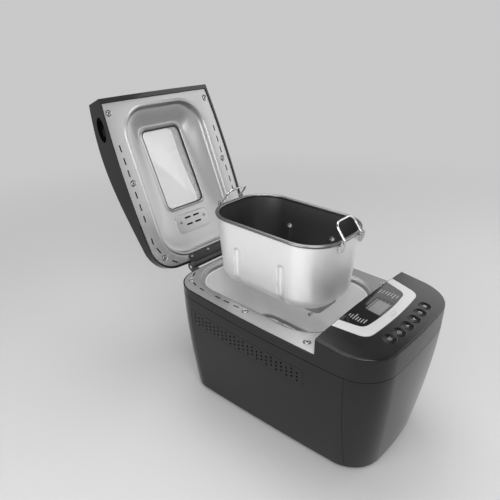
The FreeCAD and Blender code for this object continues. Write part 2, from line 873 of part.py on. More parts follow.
def make_deck():
    plate = top_plan.inset(deck_edge).solid(deck_top - sheet, deck_top).common(behind(step_y + fit_gap))
    plate = plate.cut(prism(mouth_wire(funnel_run, deck_top - sheet), sheet))
    outer = Part.makeLoft([mouth_wire(funnel_run + sheet, deck_top), mouth_wire(sheet, funnel_z)], True, True)
    inner = Part.makeLoft([mouth_wire(funnel_run, deck_top), mouth_wire(0, funnel_z)], True, True)
    screws = []
    holes = []
    for x, y in deck_screw_places():
        seat = V(x, y, deck_top)
        shank = rod(screw_shank_radius, seat - UP * screw_length, UP, screw_length)
        screws.append(fuse([dome(screw_head_radius, screw_head_height, seat, UP), shank]))
        holes.append(rod(screw_shank_radius + running_gap, seat - UP * screw_length, UP, 2 * screw_length))
    shapes["deck_plate"] = fuse([plate, outer.cut(inner)]).cut(holes)
    shapes["deck_screws"] = Part.makeCompound(screws)


def oven_tub(grow, floor_z):
    tub = prism(mouth_wire(grow, floor_z), funnel_z - floor_z)
    low_edges = [e for e in tub.Edges if e.BoundBox.ZMax < floor_z + sheet / 2]
    return tub.makeFillet(oven_floor_radius + grow, low_edges)


def heater_tails():
    return [side * heater_tail_x for side in (1, -1)]


def make_oven():
    flange_z = funnel_z - sheet
    flange = prism(mouth_wire(oven_flange, flange_z), sheet)
    tub = fuse([oven_tub(sheet, oven_floor - sheet), flange]).cut(oven_tub(0, oven_floor))
    cuts = []
    for y in (drive_front_y, drive_rear_y):
        cuts.append(rod(bearing_radius, V(0, y, oven_floor - far / 2), UP, far / 2 + sheet))
    for x in heater_tails():
        tail = V(x, mouth_front_y - far, heater_z())
        cuts.append(rod(heater_radius + fit_gap, tail, BACK, far + 2 * sheet))
    sensor_hole = V(mouth_half - sheet, oven_y, oven_floor + sensor_height)
    cuts.append(rod(sensor_radius + running_gap, sensor_hole, RIGHT, far))
    shapes["oven_chamber"] = tub.cut(cuts)


def heater_z():
    return oven_floor + heater_height


def make_heater():
    half = mouth_half - heater_wall_gap
    y0 = mouth_front_y + heater_wall_gap
    y1 = mouth_back_y - heater_wall_gap
    z = heater_z()
    r = heater_corner
    cut = r * (1 - math.sqrt(0.5))
    bend = heater_tail_bend
    bend_cut = bend * (1 - math.sqrt(0.5))
    tail_x = heater_tail_x
    tail_end = mouth_front_y - heater_tail_length
    right = [(V(tail_x, tail_end, z), V(tail_x, y0 - bend, z)),
             (V(tail_x, y0 - bend, z), V(tail_x + bend_cut, y0 - bend_cut, z), V(tail_x + bend, y0, z)),
             (V(tail_x + bend, y0, z), V(half - r, y0, z)),
             (V(half - r, y0, z), V(half - cut, y0 + cut, z), V(half, y0 + r, z)),
             (V(half, y0 + r, z), V(half, y1 - r, z)),
             (V(half, y1 - r, z), V(half - cut, y1 - cut, z), V(half - r, y1, z))]
    left = [tuple(V(-p.x, p.y, p.z) for p in reversed(run)) for run in reversed(right)]
    runs = right + [(right[-1][-1], left[0][0])] + left
    path = Part.Wire([arc(*run) if len(run) == 3 else segment(*run) for run in runs])
    ring = Part.Wire([Part.Circle(V(tail_x, tail_end, z), BACK, heater_radius).toShape()])
    shapes["heater_element"] = path.makePipeShell([ring], True, False)
    clips = []
    for side in (1, -1):
        for y in (oven_y - clip_spread, oven_y + clip_spread):
            x = side * half
            post = box(x - clip_width / 2, x + clip_width / 2, y - clip_half, y + clip_half, oven_floor, z)
            saddle = rod(heater_radius + running_gap, V(x, y - clip_width, z), BACK, 2 * clip_width)
            clips.append(post.cut(saddle))
    shapes["heater_clips"] = Part.makeCompound(clips)


def make_sensor():
    place = V(mouth_half, oven_y, oven_floor + sensor_height)
    probe = rod(sensor_radius, place - RIGHT * sensor_reach, RIGHT, 2 * sensor_reach)
    flange = rod(sensor_flange, place + RIGHT * sheet, RIGHT, 2 * sheet)
    shapes["temp_sensor"] = fuse([probe, flange])


def make_socket():
    half = pan_base_half + socket_margin
    length = pan_base_half_length + socket_margin
    outline = rounded_rect(half, oven_y - length, oven_y + length, pan_base_radius, oven_floor)
    plate = prism(outline, socket_thickness)
    clips = []
    for side in (1, -1):
        near = side * (pan_base_half + socket_clip_gap)
        edge = near + side * socket_clip
        clips.append(box(min(near, edge), max(near, edge), oven_y - socket_clip_half,
                         oven_y + socket_clip_half, oven_floor, socket_top + socket_clip_height))
    holes = [rod(dog_hub_radius + dog_hole_gap, V(0, y, oven_floor), UP, socket_thickness)
             for y in (drive_front_y, drive_rear_y)]
    shapes["pan_socket"] = fuse([plate] + clips).cut(holes)


def belt_loop(y_a, radius_a, y_b, radius_b, z):
    # outside of two circles on the Y axis, joined by their common tangents
    apart = y_b - y_a
    lean = math.asin((radius_a - radius_b) / apart)
    a = V(radius_a * math.cos(lean), y_a + radius_a * math.sin(lean), z)
    b = V(radius_b * math.cos(lean), y_b + radius_b * math.sin(lean), z)
    flip_a, flip_b = V(-a.x, a.y, z), V(-b.x, b.y, z)
    return Part.Wire([segment(a, b), arc(b, V(0, y_b + radius_b, z), flip_b), segment(flip_b, flip_a),
                      arc(flip_a, V(0, y_a - radius_a, z), a)])


def belt(y_a, radius_a, y_b, radius_b, z):
    inner = belt_loop(y_a, radius_a + fit_gap, y_b, radius_b + fit_gap, z)
    thick = fit_gap + belt_thickness
    outer = belt_loop(y_a, radius_a + thick, y_b, radius_b + thick, z)
    return prism(outer, belt_width).cut(prism(inner, belt_width))


def pulley(radius, y, z, tracks):
    # flanged drum with one belt track or two, flanges standing as high as the belt
    rim = radius + belt_thickness
    low = z - fit_gap - pulley_flange
    pieces = [rod(radius, V(0, y, low), UP, tracks * belt_step + pulley_flange)]
    for track in range(tracks + 1):
        pieces.append(rod(rim, V(0, y, low + track * belt_step), UP, pulley_flange))
    return fuse(pieces)


def make_drive():
    plate = prism(rounded_rect(chassis_half, chassis_front, chassis_back, chassis_corner, chassis_bottom),
                  chassis_thickness)
    holes = []
    bearings = []
    for y in (drive_front_y, drive_rear_y):
        low = chassis_bottom - bearing_below
        height = bearing_below + chassis_thickness + bearing_above
        bush = rod(bearing_radius, V(0, y, low), UP, height)
        flange = rod(bearing_flange_radius, V(0, y, chassis_top), UP, bearing_flange)
        bore = rod(shaft_radius + running_gap, V(0, y, low), UP, height)
        bearings.append(fuse([bush, flange]).cut(bore))
        holes.append(rod(bearing_radius + running_gap, V(0, y, chassis_bottom), UP, chassis_thickness))
    holes.append(rod(motor_shaft_hole, V(0, motor_y, chassis_bottom), UP, chassis_thickness))
    shapes["chassis_plate"] = plate.cut(holes)
    shapes["drive_bearings"] = Part.makeCompound(bearings)
    upper_belt_z = belt_low_z + belt_step
    shapes["motor_belt"] = belt(motor_y, motor_pulley_radius, drive_front_y, pulley_radius, belt_low_z)
    shapes["link_belt"] = belt(drive_front_y, pulley_radius, drive_rear_y, pulley_radius, upper_belt_z)
    make_drive_shaft("front", drive_front_y, belt_low_z, 2)
    make_drive_shaft("rear", drive_rear_y, upper_belt_z, 1)
    make_motor()


def make_drive_shaft(name, y, belt_z, tracks):
    drum = pulley(pulley_radius, y, belt_z, tracks)
    hub_low = drum.BoundBox.ZMax
    hub_high = chassis_bottom - bearing_below - fit_gap
    if hub_high > hub_low:
        drum = fuse([drum, rod(pulley_hub_radius, V(0, y, hub_low), UP, hub_high - hub_low)])
    low = drum.BoundBox.ZMin
    shapes["pulley_" + name] = drum.cut(rod(shaft_radius + running_gap, V(0, y, low), UP, hub_high - low))
    shaft = rod(shaft_radius, V(0, y, low), UP, dog_hub_top - low)
    hub = rod(dog_hub_radius, V(0, y, dog_base), UP, dog_hub_height)
    dogs = tube(dog_hub_radius, dog_inner_radius, V(0, y, dog_hub_top), UP, dog_height)
    dogs = dogs.common(box(-far, far, y - dog_width / 2, y + dog_width / 2, dog_hub_top,
                           dog_hub_top + dog_height))
    shapes["drive_" + name] = fuse([shaft, hub] + dogs.Solids)


def make_motor():
    base = V(0, motor_y, chassis_top)
    can = rod(motor_radius, base, UP, motor_height)
    can = can.makeChamfer(wall, [e for e in can.Edges if e.BoundBox.ZMin > chassis_top + motor_height / 2])
    boss = rod(motor_boss_radius, base + UP * motor_height, UP, motor_boss_height)
    bore = rod(motor_shaft_radius + running_gap, base, UP, motor_height + wall)
    shapes["motor_body"] = fuse([can, boss]).cut(bore)
    drum = pulley(motor_pulley_radius, motor_y, belt_low_z, 1)
    low = drum.BoundBox.ZMin
    shaft = rod(motor_shaft_radius, V(0, motor_y, low), UP, chassis_top + motor_height - low)
    shapes["motor_pulley"] = fuse([drum, shaft])


def pan_outline(inset, z):
    # the pan narrows from its rim to its bottom
    share = (rim_z - z) / pan_height
    half = pan_half - inset - pan_draft * share
    length = pan_half_length - inset - pan_end_draft * share
    return rounded_rect(half, oven_y - length, oven_y + length, pan_radius - inset - pan_wall * share, z)


def pan_block(inset, floor_z, top_z):
    block = Part.makeLoft([pan_outline(inset, floor_z), pan_outline(inset, top_z)], True, True)
    low_edges = [e for e in block.Edges if e.BoundBox.ZMax < floor_z + pan_wall / 2]
    return block.makeFillet(pan_bottom_radius - inset, low_edges)


def pan_ribs(radius):
    ribs = []
    for side in (1, -1):
        for y in (oven_y - pan_rib_spread, oven_y + pan_rib_spread):
            ends = []
            for z in (pan_bottom + pan_rib_bottom, rim_z - pan_rib_top):
                share = (rim_z - z) / pan_height
                ends.append(V(side * (pan_half - pan_draft * share), y, z))
            axis = ends[1] - ends[0]
            tip = Part.makeCone(radius, 0, radius, ends[1], axis)
            ribs.append(fuse([rod(radius, ends[0], axis, axis.Length), tip]))
    return ribs


def make_pan():
    bead_low = rim_z - pan_rim_height
    outer = pan_block(0, pan_bottom, rim_z).cut(pan_ribs(pan_rib_radius))
    hollow = pan_block(pan_wall, pan_bottom + pan_wall, rim_z + pan_rim_height)
    hollow = hollow.cut(pan_ribs(pan_rib_radius + pan_wall))
    bead = prism(pan_outline(-pan_rim, rim_z).translated(V(0, 0, -pan_rim_height)), pan_rim_height)
    bead_edges = [e for e in bead.Edges if e.BoundBox.ZLength < pan_rim_height / 2]
    bead = bead.makeChamfer(pan_rim_edge, bead_edges)
    bead_hole = pan_outline(pan_wall / 2, rim_z).translated(V(0, 0, -pan_rim_height))
    shell = outer.cut(hollow).fuse(bead.cut(prism(bead_hole, pan_rim_height)))
    bush_holes = [rod(bush_radius + running_gap, V(0, y, pan_bottom - pan_wall), UP, 3 * pan_wall)
                  for y in (drive_front_y, drive_rear_y)]
    shapes["bread_pan"] = shell.cut(bush_holes)
    half, length = pan_base_half, pan_base_half_length
    ring = rounded_rect(half, oven_y - length, oven_y + length, pan_base_radius, pan_feet)
    half, length = half - pan_base_wall, length - pan_base_wall
    hole = rounded_rect(half, oven_y - length, oven_y + length, pan_base_radius - pan_base_wall, pan_feet)
    shapes["pan_base"] = prism(ring, pan_base_height).cut(prism(hole, pan_base_height))
    make_kneaders()
    make_bails(bead_low)


def make_kneaders():
    inside = pan_bottom + pan_wall
    bush_top = inside + bush_flange
    bar_low = dog_hub_top + dog_clearance + pan_lift
    bushes = []
    for name, y in (("front", drive_front_y), ("rear", drive_rear_y)):
        sleeve = rod(bush_radius, V(0, y, pan_bottom - bush_below), UP, bush_top - pan_bottom + bush_below)
        flange = rod(bush_flange_radius, V(0, y, inside), UP, bush_flange)
        bore = rod(shaft_radius + running_gap, V(0, y, pan_bottom - far), UP, 2 * far)
        bushes.append(fuse([sleeve, flange]).cut(bore))
        shaft = rod(shaft_radius, V(0, y, bar_low), UP, bush_top + kneader_top - bar_low)
        bar = box(-dog_bar_width / 2, dog_bar_width / 2, y - dog_bar_half, y + dog_bar_half, bar_low,
                  bar_low + dog_height)
        shapes["kneader_shaft_" + name] = fuse([shaft, bar])
        seat = bush_top + fit_gap
        hub = rod(paddle_hub_radius, V(0, y, seat), UP, paddle_hub_height)
        fin = [V(0, 0, 0), V(paddle_toe, 0, 0), V(paddle_reach, 0, paddle_toe_height),
               V(paddle_reach, 0, paddle_tip_height), V(paddle_peak_reach, 0, paddle_peak_height),
               V(0, 0, paddle_root_height), V(0, 0, 0)]
        blade = Part.Face(Part.makePolygon(fin)).extrude(V(0, paddle_thickness, 0))
        blade.translate(V(0, y - paddle_thickness / 2, seat))
        shapes["paddle_" + name] = fuse([hub, blade]).cut(bore)
    shapes["pan_bushings"] = Part.makeCompound(bushes)


def bail_wire():
    # half of the loop, from the foot in its ear to the middle of the top
    r, f = bail_corner, bail_foot_bend
    cut = r * (1 - math.sqrt(0.5))
    foot_cut = f * (1 - math.sqrt(0.5))
    x, h = bail_half, bail_height
    right = [(V(bail_foot_end, 0, 0), V(x + f, 0, 0)),
             (V(x + f, 0, 0), V(x + foot_cut, 0, foot_cut), V(x, 0, f)),
             (V(x, 0, f), V(x, 0, h - r)),
             (V(x, 0, h - r), V(x - cut, 0, h - cut), V(x - r, 0, h))]
    left = [tuple(V(-p.x, p.y, p.z) for p in reversed(run)) for run in reversed(right)]
    runs = right + [(right[-1][-1], left[0][0])] + left
    path = Part.Wire([arc(*run) if len(run) == 3 else segment(*run) for run in runs])
    ring = Part.Wire([Part.Circle(V(bail_foot_end, 0, 0), RIGHT, bail_wire_radius).toShape()])
    return path.makePipeShell([ring], True, False)


def make_bails(bead_low):
    ears = []
    pivot_z = rim_z + bail_rise
    for name, side in (("front", -1), ("rear", 1)):
        wall_y = oven_y + side * pan_half_length
        pivot = V(0, wall_y + side * bail_offset, pivot_z)
        loop = bail_wire()
        loop.rotate(V(0, 0, 0), RIGHT, side * bail_lean)
        loop.translate(pivot)
        shapes["bail_" + name] = loop
        out = pan_rim + ear_rim_gap
        under = bead_low - rim_z - ear_rim_gap
        near = bail_half + bail_wire_radius + ear_clear
        past_flat = max(0, near - (pan_half - pan_radius))
        seat = math.sqrt(pan_radius ** 2 - past_flat ** 2) - pan_radius
        outline = [(seat, -ear_drop), (seat, under), (out, under), (out, ear_top + bail_rise),
                   (ear_reach, ear_top + bail_rise), (ear_reach, under), (ear_reach / 2, -ear_drop)]
        points = [(wall_y + side * y, rim_z + z) for y, z in outline]
        hole = rod(bail_wire_radius + running_gap, pivot - RIGHT * far, RIGHT, 2 * far)
        for x0, x1 in ((near, near + ear_thickness), (-near - ear_thickness, -near)):
            ears.append(polygon_x(points, x0, x1).cut(hole))
    shapes["bail_ears"] = Part.makeCompound(ears)


def at_lid(distance):
    # place along the lid, measured from its hinge end
    return lid_back - distance


def dish_block(grow, deeper):
    top = rounded_rect(dish_half + grow, dish_front_y - grow, dish_back_y + grow, dish_radius + grow,
                       lid_plane)
    floor = rounded_rect(dish_half - dish_slope_run + grow, dish_floor_front - grow, dish_floor_back + grow,
                         dish_radius - dish_slope_run + grow, lid_plane + dish_mid_depth + deeper)
    floor.rotate(V(0, dish_mid_y, lid_plane + dish_mid_depth + deeper), RIGHT, -dish_tilt)
    return Part.makeLoft([top, floor], True, True)


def on_dish(shape):
    # a flat piece drawn with z = 0 at the dish floor, tilted into place
    shape.translate(V(0, 0, lid_plane + dish_mid_depth))
    shape.rotate(V(0, dish_mid_y, lid_plane + dish_mid_depth), RIGHT, -dish_tilt)
    return shape


def window_wire(grow, z):
    return rounded_rect(window_half + grow, at_lid(window_start + window_length) - grow,
                        at_lid(window_start) + grow, window_radius + grow, z)


def cover_section(distance, depth, offset):
    # one slice across the lid's crowned cover
    half = cover_plan.half_middle + cover_overrun
    crown = cover_crown * (half / cover_plan.half_middle) ** 2
    y = at_lid(distance)
    z_edge = lid_plane + depth + offset + cover_crown - crown
    low = lid_plane - cover_crown
    corners = [V(half, y, z_edge), V(half, y, low), V(-half, y, low), V(-half, y, z_edge)]
    sides = [segment(a, b) for a, b in zip(corners, corners[1:])]
    top = arc(corners[3], V(0, y, z_edge + crown), corners[0])
    return Part.Wire(sides + [top])


def cover_block(inset):
    stations = ((lid_length + 2 * cover_front_rim, cover_depth_front), (cover_peak_at, cover_depth_peak),
                (cover_middle_at, cover_depth_middle), (cover_rear_at, cover_depth_rear),
                (cover_back_at, cover_depth_back), (cover_end_at, cover_depth_end))
    crown = Part.makeLoft([cover_section(d, depth, -inset) for d, depth in stations], True, False)
    return crown.common(cover_plan.inset(inset).solid(lid_plane - cover_lip, lid_plane + far))


def grip_cup(grow, depth):
    # oval hollow in the lid's side wall
    y0, y1 = at_lid(grip_start + grip_length), at_lid(grip_start)
    centre = V(cover_plan.half_middle - depth, (y0 + y1) / 2, lid_plane + (grip_low + grip_high) / 2)
    long_half, short_half = grip_length / 2 + grow, (grip_high - grip_low) / 2 + grow
    oval = Part.Ellipse(centre + BACK * long_half, centre + UP * short_half, centre).toShape()
    return Part.Face(Part.Wire([oval])).extrude(RIGHT * (depth + grip_overrun))


def lid_screw_places():
    rows = ((lid_half_middle - lid_screw_front_inset, lid_length - lid_screw_front_margin),
            (lid_half_middle - lid_screw_middle_inset, lid_screw_middle),
            (lid_half_middle - lid_screw_back_inset, lid_screw_back))
    return [(side * x, at_lid(reach)) for side in (1, -1) for x, reach in rows]


def make_lid():
    top_side = lid_plane + sheet
    outer = cover_block(0)
    hollow = cover_block(wall).common(box(-far, far, -far, far, top_side, 2 * far))
    seat = lid_plan.inset(-fit_gap).solid(lid_plane - cover_lip, top_side)
    ledge_hole = rounded_rect(dish_half + cover_ledge_margin, dish_front_y - cover_ledge_margin,
                              dish_back_y + cover_ledge_margin, dish_radius + cover_ledge_margin, top_side)
    shelf = cover_block(wall / 2).common(box(-far, far, -far, far, top_side, top_side + ledge))
    cups = [grip_cup(wall, grip_depth + wall).common(outer)]
    cups.append(mirrored(cups[0]))
    cover = fuse([outer.cut(hollow), shelf] + cups)
    window = prism(window_wire(0, lid_plane), far)
    notch = box(-hinge_leaf_half - fit_gap, hinge_leaf_half + fit_gap, hinge_y - hinge_leaf_length - fit_gap,
                hinge_y + far, lid_plane - far, top_side)
    pockets = [grip_cup(0, grip_depth), mirrored(grip_cup(0, grip_depth))]
    holes = [rod(screw_shank_radius + running_gap, V(x, y, lid_plane), UP, screw_length)
             for x, y in lid_screw_places()]
    cover = cover.cut([seat, prism(ledge_hole, ledge), window, notch] + pockets + holes)
    pane = prism(window_wire(-outer_window_gap, lid_plane), far)
    make_liner(holes)
    return {"lid_cover": cover, "outer_glass": outer.cut(cover_block(wall)).common(pane)}


def liner_slot_prisms():
    slots = []
    half = liner_slot_length / 2
    for side in (1, -1):
        x = side * (lid_half_middle - liner_slot_inset)
        for reach in liner_slots:
            wire = rounded_rect(liner_slot_width / 2, at_lid(reach) - half, at_lid(reach) + half,
                                liner_slot_radius, lid_plane)
            slots.append(prism(wire.translated(V(x, 0, 0)), sheet))
    return slots


def make_liner(holes):
    flange = lid_plan.solid(lid_plane, lid_plane + sheet).cut(liner_slot_prisms())
    pressed = fuse([flange, dish_block(sheet, sheet)])
    liner = pressed.cut([dish_block(0, 0), prism(window_wire(0, lid_plane), far)])
    lid_shapes["lid_liner"] = liner.cut(holes)
    screws = []
    for x, y in lid_screw_places():
        seat = V(x, y, lid_plane)
        head = dome(screw_head_radius, screw_head_height, seat, UP * -1)
        screws.append(fuse([head, rod(screw_shank_radius, seat, UP, screw_length)]))
    lid_shapes["lid_screws"] = Part.makeCompound(screws)
    ring = prism(window_wire(window_frame, sheet), seal_thickness).cut(prism(window_wire(-seal_lip, 0), far))
    pane = prism(window_wire(window_frame, sheet + seal_thickness), glass)
    lid_shapes["window_seal"] = on_dish(ring)
    lid_shapes["inner_glass"] = on_dish(pane)
    y0, y1 = at_lid(steam_start + steam_length), at_lid(steam_start)
    plate = prism(rounded_rect(steam_half, y0, y1, steam_corner, -steam_thickness), steam_thickness)
    slots = []
    for side in (1, -1):
        for reach in (steam_slot_low, steam_slot_high):
            middle = y1 - reach
            half = steam_slot_width / 2
            x = side * steam_slot_x
            slot = rounded_rect(steam_slot_half, middle - half, middle + half, steam_slot_radius,
                                -2 * steam_thickness)
            slots.append(prism(slot.translated(V(x, 0, 0)), 3 * steam_thickness))
    lid_shapes["steam_plate"] = on_dish(plate.cut(slots))
    rivets = []
    for side in (1, -1):
        place = V(side * rivet_x, y1 - rivet_from_edge, -steam_thickness)
        rivets.append(on_dish(dome(rivet_radius, rivet_height, place, UP * -1)))
    for x in (-hinge_rivet_x, 0, hinge_rivet_x):
        place = V(x, hinge_y - hinge_rivet_reach, lid_plane - hinge_leaf_thickness)
        rivets.append(dome(rivet_radius, rivet_height, place, UP * -1))
    lid_shapes["lid_rivets"] = Part.makeCompound(rivets)


def make_hinge():
    axis = V(-far, hinge_y, hinge_z)
    half = hinge_leaf_half
    leaf = box(-half, half, hinge_y - hinge_leaf_length, hinge_y + hinge_leaf_thickness,
               lid_plane - hinge_leaf_thickness, lid_plane)
    web = box(-half, half, hinge_y - hinge_leaf_thickness, hinge_y + hinge_leaf_thickness, hinge_z, lid_plane)
    knuckle = rod(hinge_knuckle_radius, V(-half, hinge_y, hinge_z), RIGHT, 2 * half)
    bore = rod(hinge_pin_radius + running_gap, axis, RIGHT, 2 * far)
    lid_shapes["hinge_leaf"] = fuse([leaf, web, knuckle]).cut(bore)
    inner = half + hinge_lug_gap
    outer = inner + hinge_lug_width
    low = hinge_z - hinge_lug_low
    plate = box(-outer, outer, casing_back, casing_back + hinge_plate, low, hinge_z)
    pieces = [plate]
    for x0 in (inner, -outer):
        pieces.append(box(x0, x0 + hinge_lug_width, casing_back, hinge_y, low, hinge_z))
        pieces.append(rod(hinge_lug_radius, V(x0, hinge_y, hinge_z), RIGHT, hinge_lug_width))
    shapes["hinge_base"] = fuse(pieces).cut(bore)
    shapes["hinge_pin"] = rod(hinge_pin_radius, V(-outer, hinge_y, hinge_z), RIGHT, 2 * outer)


lid_shapes = {}
make_casing()
make_inlet()
make_base()
make_housing()
make_console_pieces()
make_buttons()
make_control_board()
make_power_board()
make_deck()
make_oven()
make_heater()
make_sensor()
make_socket()
make_drive()
make_pan()
make_hinge()
lid_shapes.update(make_lid())
for node, shape in lid_shapes.items():
    shape.rotate(V(0, hinge_y, hinge_z), RIGHT, -lid_open)
    shapes[node] = shape

os.makedirs("parts", exist_ok=True)
for node, shape in shapes.items():
    shape.exportStep("parts/%s.step" % node)
print("nodes", len(shapes))
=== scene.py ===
import bisect
import bpy
import json
import math
from mathutils import Matrix, Vector


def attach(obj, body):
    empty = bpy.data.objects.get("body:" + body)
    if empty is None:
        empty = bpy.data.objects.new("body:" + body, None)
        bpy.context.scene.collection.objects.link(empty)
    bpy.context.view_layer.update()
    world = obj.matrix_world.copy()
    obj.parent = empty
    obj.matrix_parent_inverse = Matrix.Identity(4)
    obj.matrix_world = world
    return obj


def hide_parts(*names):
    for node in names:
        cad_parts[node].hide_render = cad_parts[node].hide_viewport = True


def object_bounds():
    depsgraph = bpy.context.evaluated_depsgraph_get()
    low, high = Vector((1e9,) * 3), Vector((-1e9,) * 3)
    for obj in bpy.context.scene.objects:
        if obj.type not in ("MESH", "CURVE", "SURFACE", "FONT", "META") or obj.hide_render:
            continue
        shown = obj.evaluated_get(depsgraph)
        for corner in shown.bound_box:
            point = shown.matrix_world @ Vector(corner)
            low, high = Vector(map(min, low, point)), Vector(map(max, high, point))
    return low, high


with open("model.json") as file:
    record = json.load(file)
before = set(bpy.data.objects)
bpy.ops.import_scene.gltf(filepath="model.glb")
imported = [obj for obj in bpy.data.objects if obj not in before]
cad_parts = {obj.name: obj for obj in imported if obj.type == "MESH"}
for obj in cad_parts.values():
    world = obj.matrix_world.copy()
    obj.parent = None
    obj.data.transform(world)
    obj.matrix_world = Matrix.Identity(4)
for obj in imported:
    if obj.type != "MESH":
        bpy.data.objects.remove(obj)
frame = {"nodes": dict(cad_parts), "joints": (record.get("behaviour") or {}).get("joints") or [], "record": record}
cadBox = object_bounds()
nodes = frame["nodes"]
joints = {j["name"]: j for j in frame["joints"]}
print("frame loaded,", len(nodes), "pieces")


# sizes in the dictionaries are millimetres, in the frame of the machine
def metres(value):
    return value * 0.001


def millimetres(value):
    return value * 1000


def point(x, y, z):
    return Vector((metres(x), metres(y), metres(z)))


def mix(a, b, share):
    return a + (b - a) * share


def smooth(share):
    share = min(1.0, max(0.0, share))
    return share * share * (3 - 2 * share)


# shader groups that several finishes share
def newGroup(name, inputs, outputs):
    group = bpy.data.node_groups.new(name, "ShaderNodeTree")
    for label, kind, default in inputs:
        socket = group.interface.new_socket(label, in_out="INPUT", socket_type="NodeSocket" + kind)
        socket.default_value = default
    for label, kind in outputs:
        group.interface.new_socket(label, in_out="OUTPUT", socket_type="NodeSocket" + kind)
    where = group.nodes.new("ShaderNodeTexCoord").outputs["Object"]
    return group, where, group.nodes.new("NodeGroupInput"), group.nodes.new("NodeGroupOutput")


def mapRange(tree, source, low, high):
    node = tree.nodes.new("ShaderNodeMapRange")
    for value, socket in ((source, "Value"), (low, "To Min"), (high, "To Max")):
        tree.links.new(value, node.inputs[socket])
    return node.outputs["Result"]


def smoothStep(tree, source, start, end):
    node = tree.nodes.new("ShaderNodeMapRange")
    node.interpolation_type = "SMOOTHSTEP"
    node.inputs["From Min"].default_value = start
    node.inputs["From Max"].default_value = end
    tree.links.new(source, node.inputs["Value"])
    return node.outputs["Result"]


def blendColors(tree, share, first, second):
    node = tree.nodes.new("ShaderNodeMix")
    node.data_type = "RGBA"
    node.inputs["A"].default_value = (*first, 1.0)
    node.inputs["B"].default_value = (*second, 1.0)
    tree.links.new(share, node.inputs["Factor"])
    return node


def makeGrainGroup():
    # brushed or satin grain: noise drawn out along one direction
    group, where, inner, outer = newGroup(
        "metalGrain",
        [("Stretch", "Vector", (900, 900, 40)), ("Smoothest", "Float", 0.25), ("Roughest", "Float", 0.4)],
        [("Roughness", "Float"), ("Grain", "Float")])
    scale = group.nodes.new("ShaderNodeVectorMath")
    scale.operation = "MULTIPLY"
    noise = group.nodes.new("ShaderNodeTexNoise")
    noise.inputs["Scale"].default_value = 1.0
    noise.inputs["Detail"].default_value = 3.0
    group.links.new(where, scale.inputs[0])
    group.links.new(inner.outputs["Stretch"], scale.inputs[1])
    group.links.new(scale.outputs[0], noise.inputs["Vector"])
    rough = mapRange(group, noise.outputs["Fac"], inner.outputs["Smoothest"], inner.outputs["Roughest"])
    group.links.new(rough, outer.inputs["Roughness"])
    group.links.new(noise.outputs["Fac"], outer.inputs["Grain"])
    return group


def makeCloudGroup():
    # slow change over the surface: handling, polishing and moulding are never quite even
    group, where, inner, outer = newGroup(
        "slowClouds",
        [("Size", "Float", 30.0), ("Low", "Float", 0.1), ("High", "Float", 0.2)],
        [("Value", "Float"), ("Mask", "Float")])
    noise = group.nodes.new("ShaderNodeTexNoise")
    noise.inputs["Detail"].default_value = 4.0
    noise.inputs["Roughness"].default_value = 0.6
    group.links.new(where, noise.inputs["Vector"])
    group.links.new(inner.outputs["Size"], noise.inputs["Scale"])
    group.links.new(mapRange(group, noise.outputs["Fac"], inner.outputs["Low"], inner.outputs["High"]),
                    outer.inputs["Value"])
    group.links.new(noise.outputs["Fac"], outer.inputs["Mask"])
    return group


def makePebbleGroup():
    # spark-eroded mould texture
    group, where, inner, outer = newGroup("mouldPebble", [("Size", "Float", 2500.0)], [("Height", "Float")])
    cells = group.nodes.new("ShaderNodeTexVoronoi")
    cells.feature = "SMOOTH_F1"
    group.links.new(where, cells.inputs["Vector"])
    group.links.new(inner.outputs["Size"], cells.inputs["Scale"])
    group.links.new(cells.outputs["Distance"], outer.inputs["Height"])
    return group


metalGrain = makeGrainGroup()
slowClouds = makeCloudGroup()
mouldPebble = makePebbleGroup()


class Finish:
    # one material and the few nodes that most of them need

    def __init__(self, name, color, metallic=0.0, roughness=0.5, **sockets):
        self.material = bpy.data.materials.new(name)
        self.material.use_nodes = True
        self.tree = self.material.node_tree
        self.shader = self.tree.nodes["Principled BSDF"]
        self.shader.inputs["Base Color"].default_value = (*color, 1.0)
        self.shader.inputs["Metallic"].default_value = metallic
        self.shader.inputs["Roughness"].default_value = roughness
        for label, value in sockets.items():
            self.shader.inputs[label.replace("_", " ")].default_value = value

    def place(self, group, **values):
        node = self.tree.nodes.new("ShaderNodeGroup")
        node.node_tree = group
        for label, value in values.items():
            node.inputs[label].default_value = value
        return node

    def wire(self, source, socket):
        self.tree.links.new(source, self.shader.inputs[socket])

    def bump(self, height, strength):
        node = self.tree.nodes.new("ShaderNodeBump")
        node.inputs["Strength"].default_value = strength
        node.inputs["Distance"].default_value = grainSizes["bump"]
        self.tree.links.new(height, node.inputs["Height"])
        self.wire(node.outputs["Normal"], "Normal")

    def shade(self, mask, dark, light):
        self.wire(blendColors(self.tree, mask, dark, light).outputs["Result"], "Base Color")


def grey(value, warmth=0.0):
    return (value * (1 + warmth), value, value * (1 - warmth))


def tone(color):
    # a single number stands for a grey
    return color if isinstance(color, tuple) else grey(color)


grainSizes = {"cloud": 22.0, "pebble": 2600.0, "bump": 0.0002}


def plasticFinish(name, dark, light, smoothest, roughest, pebble=0.0, specular=0.5):
    finish = Finish(name, tone(light), Specular_IOR_Level=specular)
    clouds = finish.place(slowClouds, Size=grainSizes["cloud"], Low=smoothest, High=roughest)
    finish.shade(clouds.outputs["Mask"], tone(dark), tone(light))
    finish.wire(clouds.outputs["Value"], "Roughness")
    if pebble:
        cells = finish.place(mouldPebble, Size=grainSizes["pebble"])
        finish.bump(cells.outputs["Height"], pebble)
    return finish.material


